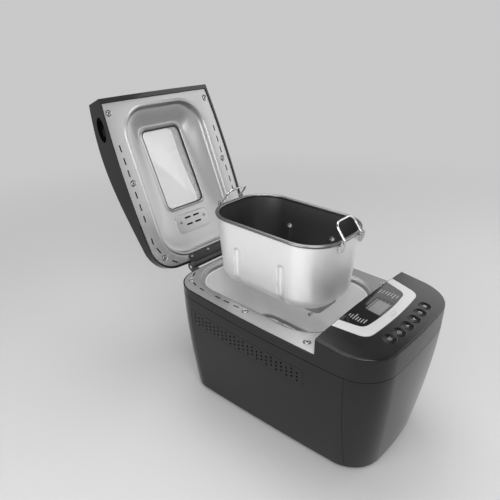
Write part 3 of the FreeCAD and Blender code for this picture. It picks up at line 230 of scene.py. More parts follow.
def metalFinish(name, dark, light, smoothest, roughest, stretch, depth=0.0, metallic=1.0):
    finish = Finish(name, tone(light), metallic=metallic)
    grain = finish.place(metalGrain, Stretch=stretch, Smoothest=smoothest, Roughest=roughest)
    finish.shade(grain.outputs["Grain"], tone(dark), tone(light))
    finish.wire(grain.outputs["Roughness"], "Roughness")
    if depth:
        finish.bump(grain.outputs["Grain"], depth)
    return finish.material


# darkest and lightest colour, smoothest and roughest, strength of the pebble and of the reflection
plastics = {
    "gloss_black": (0.003, 0.005, 0.06, 0.10, 0.0, 0.36),
    "satin_black": (0.003, 0.006, 0.20, 0.28, 0.05, 0.36),
    "lens_black": (0.004, 0.007, 0.03, 0.05),
    "lcd_grey": (0.11, 0.16, 0.10, 0.14),
    "indicator_grey": (0.36, 0.42, 0.25, 0.35),
    "button_black": (0.004, 0.007, 0.20, 0.27, 0.0, 0.12),
    "seal_rubber": (0.014, 0.024, 0.55, 0.7, 0.1),
    "hinge_black": (0.012, 0.020, 0.35, 0.5, 0.1),
    "board_green": ((0.02, 0.09, 0.045), (0.03, 0.13, 0.06), 0.3, 0.4),
    "pulley_nylon": ((0.62, 0.61, 0.56), (0.7, 0.69, 0.64), 0.4, 0.5),
    "motor_grey": (0.22, 0.28, 0.35, 0.5, 0.1),
    "display_ink": (0.20, 0.25, 0.4, 0.5),
    "key_ink": (0.15, 0.19, 0.4, 0.5),
}
# darkest and lightest colour, smoothest and roughest, stretch and depth of the grain, how metallic
metals = {
    "deck_steel": (0.32, 0.39, 0.36, 0.46, (500, 500, 500), 0.05, 0.9),
    "oven_steel": (0.93, 0.97, 0.28, 0.36, (700, 700, 40), 0.02, 0.15),
    "pan_aluminium": (0.84, 0.92, 0.38, 0.48, (700, 700, 90), 0.05, 0.82),
    "non_stick": (0.17, 0.22, 0.30, 0.38, (900, 900, 900), 0.06, 0.95),
    "trim_silver": (0.50, 0.58, 0.34, 0.44, (300, 1500, 300), 0.03, 0.6),
    "bright_steel": (0.52, 0.62, 0.14, 0.22, (900, 900, 900), 0.02),
    "heater_grey": (grey(0.20, 0.06), grey(0.30, 0.04), 0.35, 0.5, (300, 300, 300), 0.05),
    "bush_bronze": ((0.5, 0.34, 0.16), (0.6, 0.42, 0.2), 0.3, 0.42, (600, 600, 600)),
    "chassis_zinc": (0.48, 0.6, 0.3, 0.45, (120, 120, 120), 0.03),
    "screw_steel": (0.38, 0.47, 0.30, 0.40, (900, 900, 900), 0.03, 0.85),
    "rivet_steel": (0.20, 0.28, 0.30, 0.42, (900, 900, 900), 0.03),
    "cast_foot": (0.30, 0.42, 0.36, 0.5, (400, 400, 400), 0.06, 0.85),
    "pan_rim": (0.19, 0.26, 0.24, 0.34, (500, 500, 500), 0.04),
}


def makeFinishes():
    made = {}
    for make, table in ((plasticFinish, plastics), (metalFinish, metals)):
        for slot, values in table.items():
            first, last = slot.split("_")
            made[slot] = make(first + last.title(), *values)
    # clear glass lets 0.85 through; the pale diffuse rest is painted reflection
    glass = Finish("windowGlass", grey(0.96), roughness=0.03, Transmission_Weight=0.85, IOR=1.5)
    made["window_glass"] = glass.material
    return made


finishes = makeFinishes()
slotOf = {p["node"]: p["material_slot"] for p in frame["record"]["subparts"]}
for name, piece in nodes.items():
    piece.data.materials.clear()
    piece.data.materials.append(finishes["cast_foot" if name == "pan_base" else slotOf[name]])
print("finishes made,", len(finishes))


# building blocks
def addPiece(name, verts, faces, body, slot, materials=None, picks=None, angle=32):
    # verts in millimetres; picks gives the material of each face
    mesh = bpy.data.meshes.new(name)
    mesh.from_pydata([point(*v) for v in verts], [], faces)
    for material in materials or [finishes[slot]]:
        mesh.materials.append(material)
    if picks:
        mesh.polygons.foreach_set("material_index", picks)
    mesh.validate()
    mesh.shade_smooth()
    mesh.set_sharp_from_angle(angle=math.radians(angle))
    piece = bpy.data.objects.new(name, mesh)
    bpy.context.scene.collection.objects.link(piece)
    if body:
        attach(piece, body)
    return piece


def bake(piece):
    # keeps what the modifiers make as the piece's own mesh
    graph = bpy.context.evaluated_depsgraph_get()
    made = bpy.data.meshes.new_from_object(piece.evaluated_get(graph))
    piece.modifiers.clear()
    piece.data = made


def carveShaded(piece, verts, faces, angle=32):
    # the walls of what is cut take the cutter's dark finish: painted shade in slots, holes and recesses
    tool = addPiece("cutter", verts, faces, None, "hinge_black")
    cut = piece.modifiers.new("carveShaded", "BOOLEAN")
    cut.operation = "DIFFERENCE"
    cut.solver = "EXACT"
    # the cutter's dark finish goes onto the cut walls as painted shade
    cut.material_mode = "TRANSFER"
    cut.object = tool
    bake(piece)
    bpy.data.objects.remove(tool)
    piece.data.set_sharp_from_angle(angle=math.radians(angle))


def thicken(piece, thickness, offset):
    solid = piece.modifiers.new("thicken", "SOLIDIFY")
    solid.thickness = metres(thickness)
    solid.offset = offset
    bake(piece)


def loftFaces(rings, count):
    # quads between rings of the same number of points
    faces = []
    for low in range(0, (rings - 1) * count, count):
        for k in range(count):
            n = (k + 1) % count
            faces.append((low + k, low + n, low + count + n, low + count + k))
    return faces


def ringFaces(rings, count):
    # as loftFaces, and back from the last ring to the first
    last = (rings - 1) * count
    back = [(last + k, last + (k + 1) % count, (k + 1) % count, k) for k in range(count)]
    return loftFaces(rings, count) + back


def cappedFaces(rings, count):
    # as loftFaces, with a face over each end
    last = (rings - 1) * count
    return loftFaces(rings, count) + [tuple(reversed(range(count))), tuple(range(last, last + count))]


def joinParts(parts):
    # several (verts, faces) made one
    verts, faces = [], []
    for partVerts, partFaces in parts:
        base = len(verts)
        verts += partVerts
        faces += [tuple(base + k for k in face) for face in partFaces]
    return verts, faces


def moved(part, matrix):
    verts, faces = part
    return [tuple(matrix @ Vector(v)) for v in verts], faces


def circle(radius, steps):
    turns = (2 * math.pi * k / steps for k in range(steps))
    return [(radius * math.cos(a), radius * math.sin(a)) for a in turns]


def lathe(profile, steps):
    # profile of (radius, height) pairs; the two ends are closed
    verts = [(x, y, height) for radius, height in profile for x, y in circle(radius, steps)]
    return verts, cappedFaces(len(profile), steps)


def prism(outline, low, high):
    verts = [(x, y, z) for z in (low, high) for x, y in outline]
    return verts, cappedFaces(2, len(outline))


def arcRun(centre, radius, start, end, steps):
    turns = (mix(start, end, k / steps) for k in range(steps + 1))
    return [(centre[0] + radius * math.cos(a), centre[1] + radius * math.sin(a)) for a in turns]


def roundedRing(half, low, high, radius, steps):
    # rounded rectangle, from its front right corner round to the left; steps of a side, an end and a corner
    side, end, turn = steps
    corners = ((half - radius, low + radius), (half - radius, high - radius),
               (radius - half, high - radius), (radius - half, low + radius))
    ring = []
    for index, (cx, cy) in enumerate(corners):
        start = math.radians(90 * index - 90)
        bend = arcRun((cx, cy), radius, start, start + math.pi / 2, turn)
        x, y = bend[-1]
        nx, ny = corners[(index + 1) % 4]
        count = end if index % 2 else side
        ring += bend[:-1] + [(x + (nx - cx) * k / count, y + (ny - cy) * k / count) for k in range(count)]
    return ring


slotShape = {"roundness": 0.45, "steps": (1, 1, 5)}


def slotOutline(length, width):
    return roundedRing(width / 2, -length / 2, length / 2, width * slotShape["roundness"], slotShape["steps"])


def circleThrough(a, b, c):
    d = 2 * (a[0] * (b[1] - c[1]) + b[0] * (c[1] - a[1]) + c[0] * (a[1] - b[1]))
    s = [p[0] ** 2 + p[1] ** 2 for p in (a, b, c)]
    x = (s[0] * (b[1] - c[1]) + s[1] * (c[1] - a[1]) + s[2] * (a[1] - b[1])) / d
    y = (s[0] * (c[0] - b[0]) + s[1] * (a[0] - c[0]) + s[2] * (b[0] - a[0])) / d
    return x, y, math.hypot(a[0] - x, a[1] - y)


def cornerBend(first, second, radius, near):
    # middle of the arc that rounds two bowed sides, and the angles at which it meets them
    ra, rb = first[2] - radius, second[2] - radius
    apart = math.hypot(second[0] - first[0], second[1] - first[1])
    along = (ra ** 2 - rb ** 2 + apart ** 2) / (2 * apart)
    aside = math.sqrt(ra ** 2 - along ** 2)
    ux, uy = (second[0] - first[0]) / apart, (second[1] - first[1]) / apart
    x, y = first[0] + along * ux, first[1] + along * uy
    spots = [(x - s * aside * uy, y + s * aside * ux) for s in (1, -1)]
    cx, cy = min(spots, key=lambda p: math.hypot(p[0] - near[0], p[1] - near[1]))
    return (cx, cy), math.atan2(cy - first[1], cx - first[0]), math.atan2(cy - second[1], cx - second[0])


bowed = {"cornerSteps": 24, "sideSteps": 60, "endSteps": 40, "leastRadius": 0.01}


def bowedOutline(plan, inset=0.0):
    # outline with bowed sides and ends and rounded corners, the same left and right
    front, back = plan["front"] + inset, plan["back"] - inset
    halves = [plan[k] - inset for k in ("halfFront", "halfMiddle", "halfBack")]
    side = circleThrough((halves[0], front), (halves[1], (front + back) / 2), (halves[2], back))
    corners, ends, meets = [], [], []
    for half, y, bow, radius in ((halves[0], front, plan["frontBow"], plan["frontRadius"]),
                                 (halves[2], back, -plan["backBow"], plan["backRadius"])):
        end = circleThrough((-half, y + bow), (0, y), (half, y + bow))
        radius = max(bowed["leastRadius"], radius - inset)
        middle, endAngle, sideAngle = cornerBend(end, side, radius, (half, y))
        corners.append(arcRun(middle, radius, endAngle, sideAngle, bowed["cornerSteps"]))
        ends.append(end)
        meets.append(sideAngle)
    flank = arcRun(side, side[2], *meets, bowed["sideSteps"])[1:-1]
    right = corners[0] + flank + corners[1][::-1]
    left = [(-x, y) for x, y in reversed(right)]
    outline = []
    for run, end in ((right, ends[1]), (left, ends[0])):
        x, y = run[-1]
        angles = [math.atan2(y - end[1], s * x - end[0]) for s in (1, -1)]
        outline += run + arcRun(end, end[2], *angles, bowed["endSteps"])[1:-1]
    return outline


class Reach:
    # how far an outline lies from a centre in any direction

    def __init__(self, outline, centre):
        offsets = [(x - centre[0], y - centre[1]) for x, y in outline]
        self.spokes = sorted((math.atan2(y, x), x, y) for x, y in offsets)

    def at(self, angle):
        index = bisect.bisect(self.spokes, (angle,))
        a, b = self.spokes[index - 1], self.spokes[index % len(self.spokes)]
        dx, dy = b[1] - a[1], b[2] - a[2]
        return (a[1] * dy - a[2] * dx) / (math.cos(angle) * dy - math.sin(angle) * dx)


def grownReach(plan, name, growth):
    # reach of the opening of that name, grown all round
    half, front, back, radius, steps = (plan[name + k] for k in ("Half", "Front", "Back", "Radius", "Steps"))
    ring = roundedRing(half + growth, front - growth, back + growth, radius + growth, steps)
    return Reach(ring, plan["centre"])


def edgeStation(reach, inset, height):
    return lambda angle: (reach.at(angle) - inset, height)


def stampedSheet(name, plan, corners, stations, body):
    # stations give the reach in a direction and the height there, from the edge inwards
    (cx, cy), count = plan["centre"], plan["spokes"]
    angles = [-math.pi + 2 * math.pi * k / count for k in range(count)]
    angles = sorted(angles + [math.atan2(y - cy, x - cx) for x, y in corners])
    verts = []
    for station in stations:
        for angle in angles:
            reach, height = station(angle)
            verts.append((cx + reach * math.cos(angle), cy + reach * math.sin(angle), height))
    return addPiece(name, verts, loftFaces(len(stations), len(angles)), body, "deck_steel", angle=40)


def slotCutters(plan, level):
    low, high = (level + reach for reach in plan["slotCut"])
    slot = prism(slotOutline(plan["slotLength"], plan["slotWidth"]), low, high)
    parts = []
    for x, y, turn in plan["slots"]:
        for side in (1, -1):
            spin = Matrix.Rotation(math.radians(side * turn), 4, "Z")
            parts.append(moved(slot, Matrix.Translation((side * x, y, 0)) @ spin))
    return joinParts(parts)


# cross-head screw in a pressed dimple
screw = {"radius": 3.9, "height": 1.4, "crossLength": 5.4, "crossWidth": 1.5, "crossDepth": 1.0, "sunk": 0.9,
         "holeRadius": 5.8, "holeReach": 4, "steps": 40,
         # profile of the head as shares of its radius and height
         "head": [(1, 0), (1, 0.3), (0.97, 0.5), (0.88, 0.72), (0.7, 0.89), (0.42, 0.98), (0.1, 1)],
         # radius and height of the dimple, from under its floor round its edge to its inside
         "cup": [(4.4, -0.95), (6.4, -0.7), (6.4, -0.05), (6.25, 0.14), (5.95, 0.2), (5.7, 0.05), (5.4, -0.3),
                 (5.15, -0.6), (4.95, -0.78), (4.75, -0.85)],
         # dark ring under the head in the seal rubber finish: painted shade in the gap between head and dimple
         # wall
         "shadeRing": [(4.9, -0.9), (4.9, -0.72), (4.75, -0.64), (3.4, -0.62)]}


def screwHead():
    r, h = screw["radius"], screw["height"]
    profile = [(r * out, h * up) for out, up in screw["head"]]
    head = addPiece("headTool", *lathe(profile, screw["steps"]), None, "bright_steel")
    far, near = screw["crossLength"] / 2, screw["crossWidth"] / 2
    arm = [(near, -near), (far, -near), (far, near)]
    cross = []
    for turn in range(4):
        c, s = round(math.cos(math.pi / 2 * turn)), round(math.sin(math.pi / 2 * turn))
        cross += [(x * c - y * s, x * s + y * c) for x, y in arm]
    # the cross's walls and floor take the dark cutter finish: painted shade in the recess
    carveShaded(head, *prism(cross, h - screw["crossDepth"], h + screw["crossDepth"]))
    verts = [tuple(millimetres(v.co)) for v in head.data.vertices]
    faces = [tuple(p.vertices) for p in head.data.polygons]
    picks = [p.material_index for p in head.data.polygons]
    bpy.data.objects.remove(head)
    return (verts, faces), picks


headPart, headPicks = screwHead()
cupPart = lathe(screw["cup"], screw["steps"])
# dark ring of painted shade that sits under each screw head
shadeRingPart = lathe(screw["shadeRing"], screw["steps"])


def screwSpots(plan, level):
    # x, y, height and twist of the screws on both sides
    step, start = plan["twist"]
    return [(side * x, y, level, step * k + start * side)
            for side in (1, -1) for k, (x, y) in enumerate(plan["screws"])]


def screwHoles(spots):
    # clears the sheet for the dimples
    hole = prism(circle(screw["holeRadius"], screw["steps"]), -screw["holeReach"], screw["holeReach"])
    return [moved(hole, Matrix.Translation((x, y, z))) for x, y, z, twist in spots]


def placeScrews(name, spots, body, node, over, turn):
    # over sets the heads upright or hanging, and turn moves them with an open lid
    heads, cups, shadeRings = [], [], []
    for x, y, z, twist in spots:
        seat = Matrix.Translation((x, y, z)) @ over
        heads.append(moved(headPart, seat @ Matrix.Translation((0, 0, -screw["sunk"]))
                           @ Matrix.Rotation(math.radians(twist), 4, "Z")))
        cups.append(moved(cupPart, seat))
        shadeRings.append(moved(shadeRingPart, seat))
    # the hinge_black faces in each cross are painted shade in the recess
    screws = addPiece(name, *joinParts(heads), body, "bright_steel",
                      [finishes["screw_steel"], finishes["hinge_black"]], headPicks * len(spots))
    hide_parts(node)
    rims = addPiece(name + "Dimples", *joinParts(cups), body, "deck_steel")
    # the dark rings under the heads are painted shade, not real washers
    rings = addPiece(name + "ShadeRings", *joinParts(shadeRings), body, "seal_rubber")
    for piece in (screws, rims, rings):
        piece.data.transform(turn)


# deck: pressed sheet with a stepped mouth and punched slots
housingPlan = {"front": -201.0, "back": 198.0, "halfFront": 118.5, "halfMiddle": 127.0, "halfBack": 119.0,
               "frontBow": 8.0, "backBow": 4.0, "frontRadius": 58.0, "backRadius": 49.0}
deck = {
    "top": 213.0, "front": -103.7, "frontBand": 6, "edge": 2.0, "sheet": 0.9,
    "centre": (0, 46.0), "spokes": 440,
    "mouthHalf": 90.0, "mouthFront": -86.0, "mouthBack": 178.0, "mouthRadius": 55.0,
    "mouthSteps": (40, 20, 24),
    # inset and drop of the rolled outer edge
    "roll": [(0.0, 0.9), (0.0, 0.35), (0.3, 0.08), (0.9, 0.0)],
    # growth of the mouth and drop below the deck, from the flat inwards
    "steps": [(11.0, 0.0), (10.2, 0.05), (9.6, 0.3), (9.0, 0.8), (8.5, 1.4), (7.9, 1.8), (7.1, 2.0),
              (5.0, 2.1), (4.3, 2.3), (3.7, 2.8), (3.2, 3.6), (2.6, 5.0), (2.0, 6.5), (1.5, 7.4), (0.9, 8.0)],
    "slotLength": 12.5, "slotWidth": 2.6, "slotCut": (-6, 4),
    # x, y and turn of the slots on the right
    "slots": [(107.0, 99.0, 0), (107.0, 79.0, 0), (107.0, 57.5, 0), (106.6, 137.0, 8), (102.4, 159.5, 22),
              (80.5, 185.5, 58)],
    "screws": [(107.5, -80.0), (107.5, 38.0), (97.0, 173.0)],
    # how far each screw is turned on from the last, and each side from straight
    "twist": (17, 31),
}


def makeDeck():
    top, front = deck["top"], deck["front"]
    outline = bowedOutline(housingPlan, deck["edge"])
    width = max(x for x, y in outline if abs(y - front) < deck["frontBand"])
    corners = [(width, front), (-width, front)]
    outer = Reach([p for p in outline if p[1] > front] + corners, deck["centre"])
    stations = [edgeStation(outer, inset, top - drop) for inset, drop in deck["roll"]]
    stations += [edgeStation(grownReach(deck, "mouth", growth), 0.0, top - drop)
                 for growth, drop in deck["steps"]]
    sheet = stampedSheet("deckSheet", deck, corners, stations, "machine")
    thicken(sheet, deck["sheet"], -1)
    spots = screwSpots(deck, top)
    # the slot walls come out dark: painted shade in the slots
    carveShaded(sheet, *joinParts([slotCutters(deck, top)] + screwHoles(spots)), angle=40)
    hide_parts("deck_plate")
    placeScrews("deckScrews", spots, "machine", "deck_screws", Matrix.Identity(4), Matrix.Identity(4))


makeDeck()
print("deck pressed")


# raised pad with vent slots between window and hinge
pad = {"half": 41.5, "front": 126.5, "back": 164.5, "radius": 12.0, "thickness": 2.6, "soft": 3.4,
       "foot": 2.0, "softSteps": 7, "ringSteps": (8, 10, 10),
       "slotX": 10.5, "slotRows": (135.0, 148.0), "slotLength": 15.0, "slotWidth": 3.4, "slotCut": (-8, 5)}


def padSlots():
    parts = []
    outline = [(v, u) for u, v in reversed(slotOutline(pad["slotLength"], pad["slotWidth"]))]
    for side in (1, -1):
        for y in pad["slotRows"]:
            level = liner["plane"] + dishDepth(y)
            slot = prism(outline, *(level + reach for reach in pad["slotCut"]))
            parts.append(moved(slot, Matrix.Translation((side * pad["slotX"], y, 0))))
    return joinParts(parts)


# lid liner, drawn closed and turned open about the hinge
hingeJoint = joints["lid_hinge"]
hinge = Vector(hingeJoint["pos_m"])
opened = (Matrix.Translation(hinge) @ Matrix.Rotation(-math.radians(hingeJoint["range_deg"][1]), 4, "X")
          @ Matrix.Translation(-hinge))
lidPlan = {"front": -94.5, "back": 212.5, "halfFront": 118.0, "halfMiddle": 124.5, "halfBack": 117.0,
           "frontBow": 0.8, "backBow": 6.0, "frontRadius": 0.0, "backRadius": 47.0}
liner = {
    "plane": 215.8, "sheet": 0.8, "centre": (0.0, 36.0), "spokes": 440,
    # inset and lift of the outer edge
    "roll": [(0.0, 0.5), (0.5, 0.05), (1.2, 0.0)],
    "dishHalf": 95.0, "dishFront": -84.5, "dishBack": 201.5, "dishRadius": 58.0, "dishSteps": (50, 30, 24),
    # where the flat round the window lies: depth at its free end and its hinge end, and where those are
    "depthFront": 27.0, "depthBack": 14.0, "slopeFront": -71.5, "slopeBack": 186.5,
    # growth of the dish's mouth and depth below the flange: groove, bead, then a steep wall to its foot
    "bead": [(1.6, 0.0), (0.8, 0.12), (0.1, 0.35), (-0.6, 0.2), (-1.3, -0.5), (-2.2, -1.2), (-3.2, -1.5),
             (-4.2, -1.35), (-5.0, -0.8), (-5.7, 0.2), (-6.3, 1.8), (-6.9, 3.8), (-7.4, 5.8), (-7.9, 7.4),
             (-8.6, 8.7), (-9.6, 9.5)],
    "foot": 11.0, "footDepth": 10.0, "funnelSteps": 9, "funnelSoftness": 0.35, "flat": 7.0,
    "windowHalf": 44.0, "windowFront": -40.5, "windowBack": 112.5, "windowRadius": 12.0,
    "windowSteps": (40, 24, 16),
    # growth of the window and how far its flange is turned away from the floor
    "flange": [(6.0, 0.0), (4.2, -0.1), (3.2, -0.6), (2.3, -1.2), (1.4, -1.3), (0.7, -0.8), (0.35, 0.1),
               (0.3, 0.9)],
    "slotLength": 12.5, "slotWidth": 2.6, "slotCut": (-4, 4),
    # x, y and turn of the slots on the right
    "slots": [(111, -15.5, 0), (111, 7, 0), (111, 28.5, 0), (111, 67, 0), (111, 89.5, 0), (111, 110.5, 0),
              (111, 152.5, 0), (104.5, 172, 24), (79.5, 201.5, 54)],
    "screws": [(110.0, -76.5), (109.0, 46.5), (98.0, 188.0)],
    "twist": (23, 40),
}


def dishDepth(y):
    # the dish's floor slopes from its free end to its hinge end
    share = (y - liner["slopeFront"]) / (liner["slopeBack"] - liner["slopeFront"])
    return mix(liner["depthFront"], liner["depthBack"], share)


def funnelStation(foot, flat, share):
    # slope from the foot of the wall to the flat round the window, soft at both ends
    def station(angle):
        near = flat.at(angle)
        deep = dishDepth(liner["centre"][1] + near * math.sin(angle))
        soft = mix(share, smooth(share), liner["funnelSoftness"])
        return mix(foot.at(angle), near, share), liner["plane"] + mix(liner["footDepth"], deep, soft)
    return station


def floorStation(reach, away):
    def station(angle):
        r = reach.at(angle)
        return r, liner["plane"] + dishDepth(liner["centre"][1] + r * math.sin(angle)) + away
    return station


def makeLiner():
    plane = liner["plane"]
    outer = Reach(bowedOutline(lidPlan), liner["centre"])
    corners = [(side * lidPlan["halfFront"], lidPlan["front"] + lidPlan["frontBow"]) for side in (1, -1)]
    stations = [edgeStation(outer, inset, plane + lift) for inset, lift in liner["roll"]]
    stations += [edgeStation(grownReach(liner, "dish", growth), 0.0, plane + depth)
                 for growth, depth in liner["bead"]]
    foot, flat = grownReach(liner, "dish", -liner["foot"]), grownReach(liner, "window", liner["flat"])
    count = liner["funnelSteps"]
    stations += [funnelStation(foot, flat, k / count) for k in range(count + 1)]
    stations += [floorStation(grownReach(liner, "window", growth), away) for growth, away in liner["flange"]]
    sheet = stampedSheet("lidLiner", liner, corners, stations, "lid")
    thicken(sheet, liner["sheet"], 1)
    spots = screwSpots(liner, plane)
    # the slot walls come out dark: painted shade in the slots
    carveShaded(sheet, *joinParts([slotCutters(liner, plane), padSlots()] + screwHoles(spots)), angle=40)
    sheet.data.transform(opened)
    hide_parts("lid_liner")
    placeScrews("lidScrews", spots, "lid", "lid_screws", Matrix.Rotation(math.pi, 4, "X"), opened)


makeLiner()
print("lid liner pressed")


def makePad():
    # rings from under the funnel up the pad's soft edge to its flat top
    steps = pad["softSteps"]
    turns = [math.pi / 2 * k / steps for k in range(steps + 1)]
    edge = [(0.0, -pad["foot"])]
    edge += [(pad["soft"] * (1 - math.cos(a)), pad["thickness"] * math.sin(a)) for a in turns]
    verts = []
    for inset, rise in edge:
        ring = roundedRing(pad["half"] - inset, pad["front"] + inset, pad["back"] - inset,
                           pad["radius"] - inset, pad["ringSteps"])
        verts += [(x, y, liner["plane"] + dishDepth(y) - rise) for x, y in ring]
    plate = addPiece("steamPad", verts, cappedFaces(len(edge), len(ring)), "lid", "deck_steel", angle=40)
    # the slot walls come out dark: painted shade in the slots
    carveShaded(plate, *padSlots(), angle=40)
    plate.data.transform(opened)
    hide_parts("steam_plate")


# domed rivets of the pad and the hinge leaf
rivet = {"radius": 3.0, "height": 1.3, "foot": 0.4, "steps": 32, "padX": 29.0, "padY": 140.5,
         "hingeX": (-41.0, 0.0, 41.0), "hingeY": 205.5, "hingeLevel": 213.8,
         # profile of the dome as shares of its radius and height
         "dome": [(1, 0.15), (0.93, 0.45), (0.76, 0.75), (0.5, 0.94), (0.12, 1)]}


def makeRivets():
    r, h = rivet["radius"], rivet["height"]
    profile = [(r, -rivet["foot"])] + [(r * out, h * up) for out, up in rivet["dome"]]
    dome = moved(lathe(profile, rivet["steps"]), Matrix.Rotation(math.pi, 4, "X"))
    level = liner["plane"] + dishDepth(rivet["padY"]) - pad["thickness"]
    spots = [(side * rivet["padX"], rivet["padY"], level) for side in (1, -1)]
    spots += [(x, rivet["hingeY"], rivet["hingeLevel"]) for x in rivet["hingeX"]]
    rivets = addPiece("lidRivets", *joinParts([moved(dome, Matrix.Translation(s)) for s in spots]), "lid",
                      "bright_steel", [finishes["rivet_steel"]])
    rivets.data.transform(opened)
    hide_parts("lid_rivets")


makePad()
makeRivets()
print("steam pad and rivets made")


# bread pan: drawn aluminium with pressed grooves, rolled rim and dark non-stick inside
pan = {
    "middle": 46.0, "rim": 336.0, "bottom": 217.0, "half": 72.0, "halfLength": 117.0, "radius": 55.0,
    "leastRadius": 1.0, "draft": 6.0, "endDraft": 8.0, "cornerDraft": 1.6, "wall": 1.6, "bend": 22.0,
    "grooveSpread": 45.0, "grooveHalf": 7.0, "grooveDepth": 4.4, "grooveTop": 46.0, "grooveFlatness": 1.35,
    # how far out the grooves start on the wall, and how much nearer for each millimetre inside it
    "grooveStart": 40.0, "grooveStartDraw": 0.9,
    # distance in from the wall and share of the groove's depth, on the floor
    "floor": [(50.0, 0.0), (38.0, 0.0), (30.0, 0.4)],
    # drop below the rim where the walls end, and inset and drop of the neck under the roll
    "outsideEnd": 6.0, "insideEnd": 4.6, "neck": [(-0.1, 5.6), (-0.6, 5.0)],
    # radius, inset, drop and turn of the outer roll and of a smaller ridge inside it
    "rolls": [(2.2, -0.9, 2.4, -80, 140), (1.5, 2.0, 2.0, 42, 230)],
    "ringSteps": (100, 12, 22), "wallSteps": 44, "bendSteps": 12, "rollSteps": 10,
}


def panRing(z, inset):
    share = (pan["rim"] - z) / (pan["rim"] - pan["bottom"])
    half = pan["half"] - pan["draft"] * share - inset
    length = pan["halfLength"] - pan["endDraft"] * share - inset
    radius = max(pan["leastRadius"], pan["radius"] - pan["cornerDraft"] * share - inset)
    return roundedRing(half, pan["middle"] - length, pan["middle"] + length, radius, pan["ringSteps"])


def grooveShare(y, z):
    off = abs(abs(y - pan["middle"]) - pan["grooveSpread"])
    # the top end of the groove is rounded
    above = max(0.0, z - (pan["rim"] - pan["grooveTop"] - pan["grooveHalf"]))
    off = math.hypot(off, above) / pan["grooveHalf"]
    return smooth((1 - off * off) * pan["grooveFlatness"]) if off < 1 else 0.0


def panProfile(inset, bend, floorZ, rimZ):
    # from the middle of the floor out and up: inset, height, facing (out, up) and share of the groove
    profile = [(inset + far, floorZ, 0.0, -1.0, share) for far, share in pan["floor"]]
    for k in range(pan["bendSteps"] + 1):
        a = math.pi / 2 * k / pan["bendSteps"]
        profile.append((inset + bend * (1 - math.sin(a)), floorZ + bend * (1 - math.cos(a)),
                        math.sin(a), -math.cos(a), 1.0))
    low = floorZ + bend
    for k in range(1, pan["wallSteps"] + 1):
        profile.append((inset, mix(low, rimZ, k / pan["wallSteps"]), 1.0, 0.0, 1.0))
    return profile


def makePan():
    rim, wall = pan["rim"], pan["wall"]
    outside = panProfile(0.0, pan["bend"], pan["bottom"], rim - pan["outsideEnd"])
    roll = [(inset, rim - drop, 1.0, 0.0, 0.0) for inset, drop in pan["neck"]]
    for radius, place, drop, start, end in pan["rolls"]:
        arc = arcRun((0, 0), radius, math.radians(start), math.radians(end), pan["rollSteps"])
        roll += [(place - u, rim - drop + v, 1.0, 0.0, 0.0) for u, v in arc]
    inside = panProfile(wall, pan["bend"] - wall, pan["bottom"] + wall, rim - pan["insideEnd"])
    profile = outside + roll + inside[::-1]
    verts = []
    for inset, z, out, up, amount in profile:
        ring = panRing(z, inset)
        start = pan["grooveStart"] - pan["grooveStartDraw"] * inset
        for x, y in ring:
            depth = pan["grooveDepth"] * amount * grooveShare(y, z) if abs(x) > start else 0.0
            verts.append((x - math.copysign(depth * out, x), y, z - depth * up))
    count = len(ring)
    # outside, rim, inside, and the two faces that close the floor
    rows = [0] * len(outside) + [1] * (len(roll) - 1) + [2] * len(inside)
    picks = [pick for pick in rows for k in range(count)] + [0, 2]
    piece = addPiece("breadPan", verts, cappedFaces(len(profile), count), "pan", "pan_aluminium",
                     [finishes[k] for k in ("pan_aluminium", "pan_rim", "non_stick")], picks, angle=50)
    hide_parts("bread_pan")


makePan()
print("pan drawn")


# wire bails, leaning in over the pan
bail = {"wire": 1.6, "half": 22.0, "height": 30.0, "footEnd": 29.5, "lean": 38.0, "offset": 6.0, "rise": 0.5,
        # where the wire turns, and how widely
        "footBend": 3.0, "topBend": 11.0, "bendSteps": 10, "steps": 14}


def bailPath():
    # half of the loop as (x, z) pairs, from the foot in its ear to the middle of the top
    half, height, foot, top = (bail[k] for k in ("half", "height", "footBend", "topBend"))
    path = [(bail["footEnd"], 0.0)]
    for centre, radius, start, end in (((half + foot, foot), foot, -90, -180),
                                       ((half - top, height - top), top, 0, 90)):
        path += arcRun(centre, radius, math.radians(start), math.radians(end), bail["bendSteps"])
    return path + [(-x, z) for x, z in reversed(path)]


def wireAlong(path, radius, steps):
    # tube round a path in the x-z plane, closed at both ends
    verts = []
    for k, (x, z) in enumerate(path):
        before, after = path[max(0, k - 1)], path[min(len(path) - 1, k + 1)]
        dx, dz = after[0] - before[0], after[1] - before[1]
        size = math.hypot(dx, dz)
        for side, across in circle(radius, steps):
            verts.append((x - side * dz / size, -across, z + side * dx / size))
    return verts, cappedFaces(len(path), steps)


def makeBails():
    loop = wireAlong(bailPath(), bail["wire"], bail["steps"])
    for name, side in (("front", -1), ("rear", 1)):
        pivot = (0, pan["middle"] + side * (pan["halfLength"] + bail["offset"]), pan["rim"] + bail["rise"])
        lean = Matrix.Translation(pivot) @ Matrix.Rotation(side * math.radians(bail["lean"]), 4, "X")
        piece = addPiece(name + "Bail", *moved(loop, lean), name + "_bail", "bright_steel")
        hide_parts("bail_" + name)


makeBails()
print("bails bent")


# console: display field, display and buttons
console = {"rear": -104.0, "top": 244.0, "slope": 5.4, "crown": 1757.3,
           "buttonCount": 6, "buttonPitch": 21.5, "buttonMiddle": 76.0, "buttonEnd": 72.0,
           "buttonProud": 0.5, "buttonDish": 1.2, "buttonRadius": 8.2}
tilt = math.radians(console["slope"])
consoleOut = Vector((0, -math.sin(tilt), math.cos(tilt)))
consoleDown = Vector((0, -math.cos(tilt), -math.sin(tilt)))


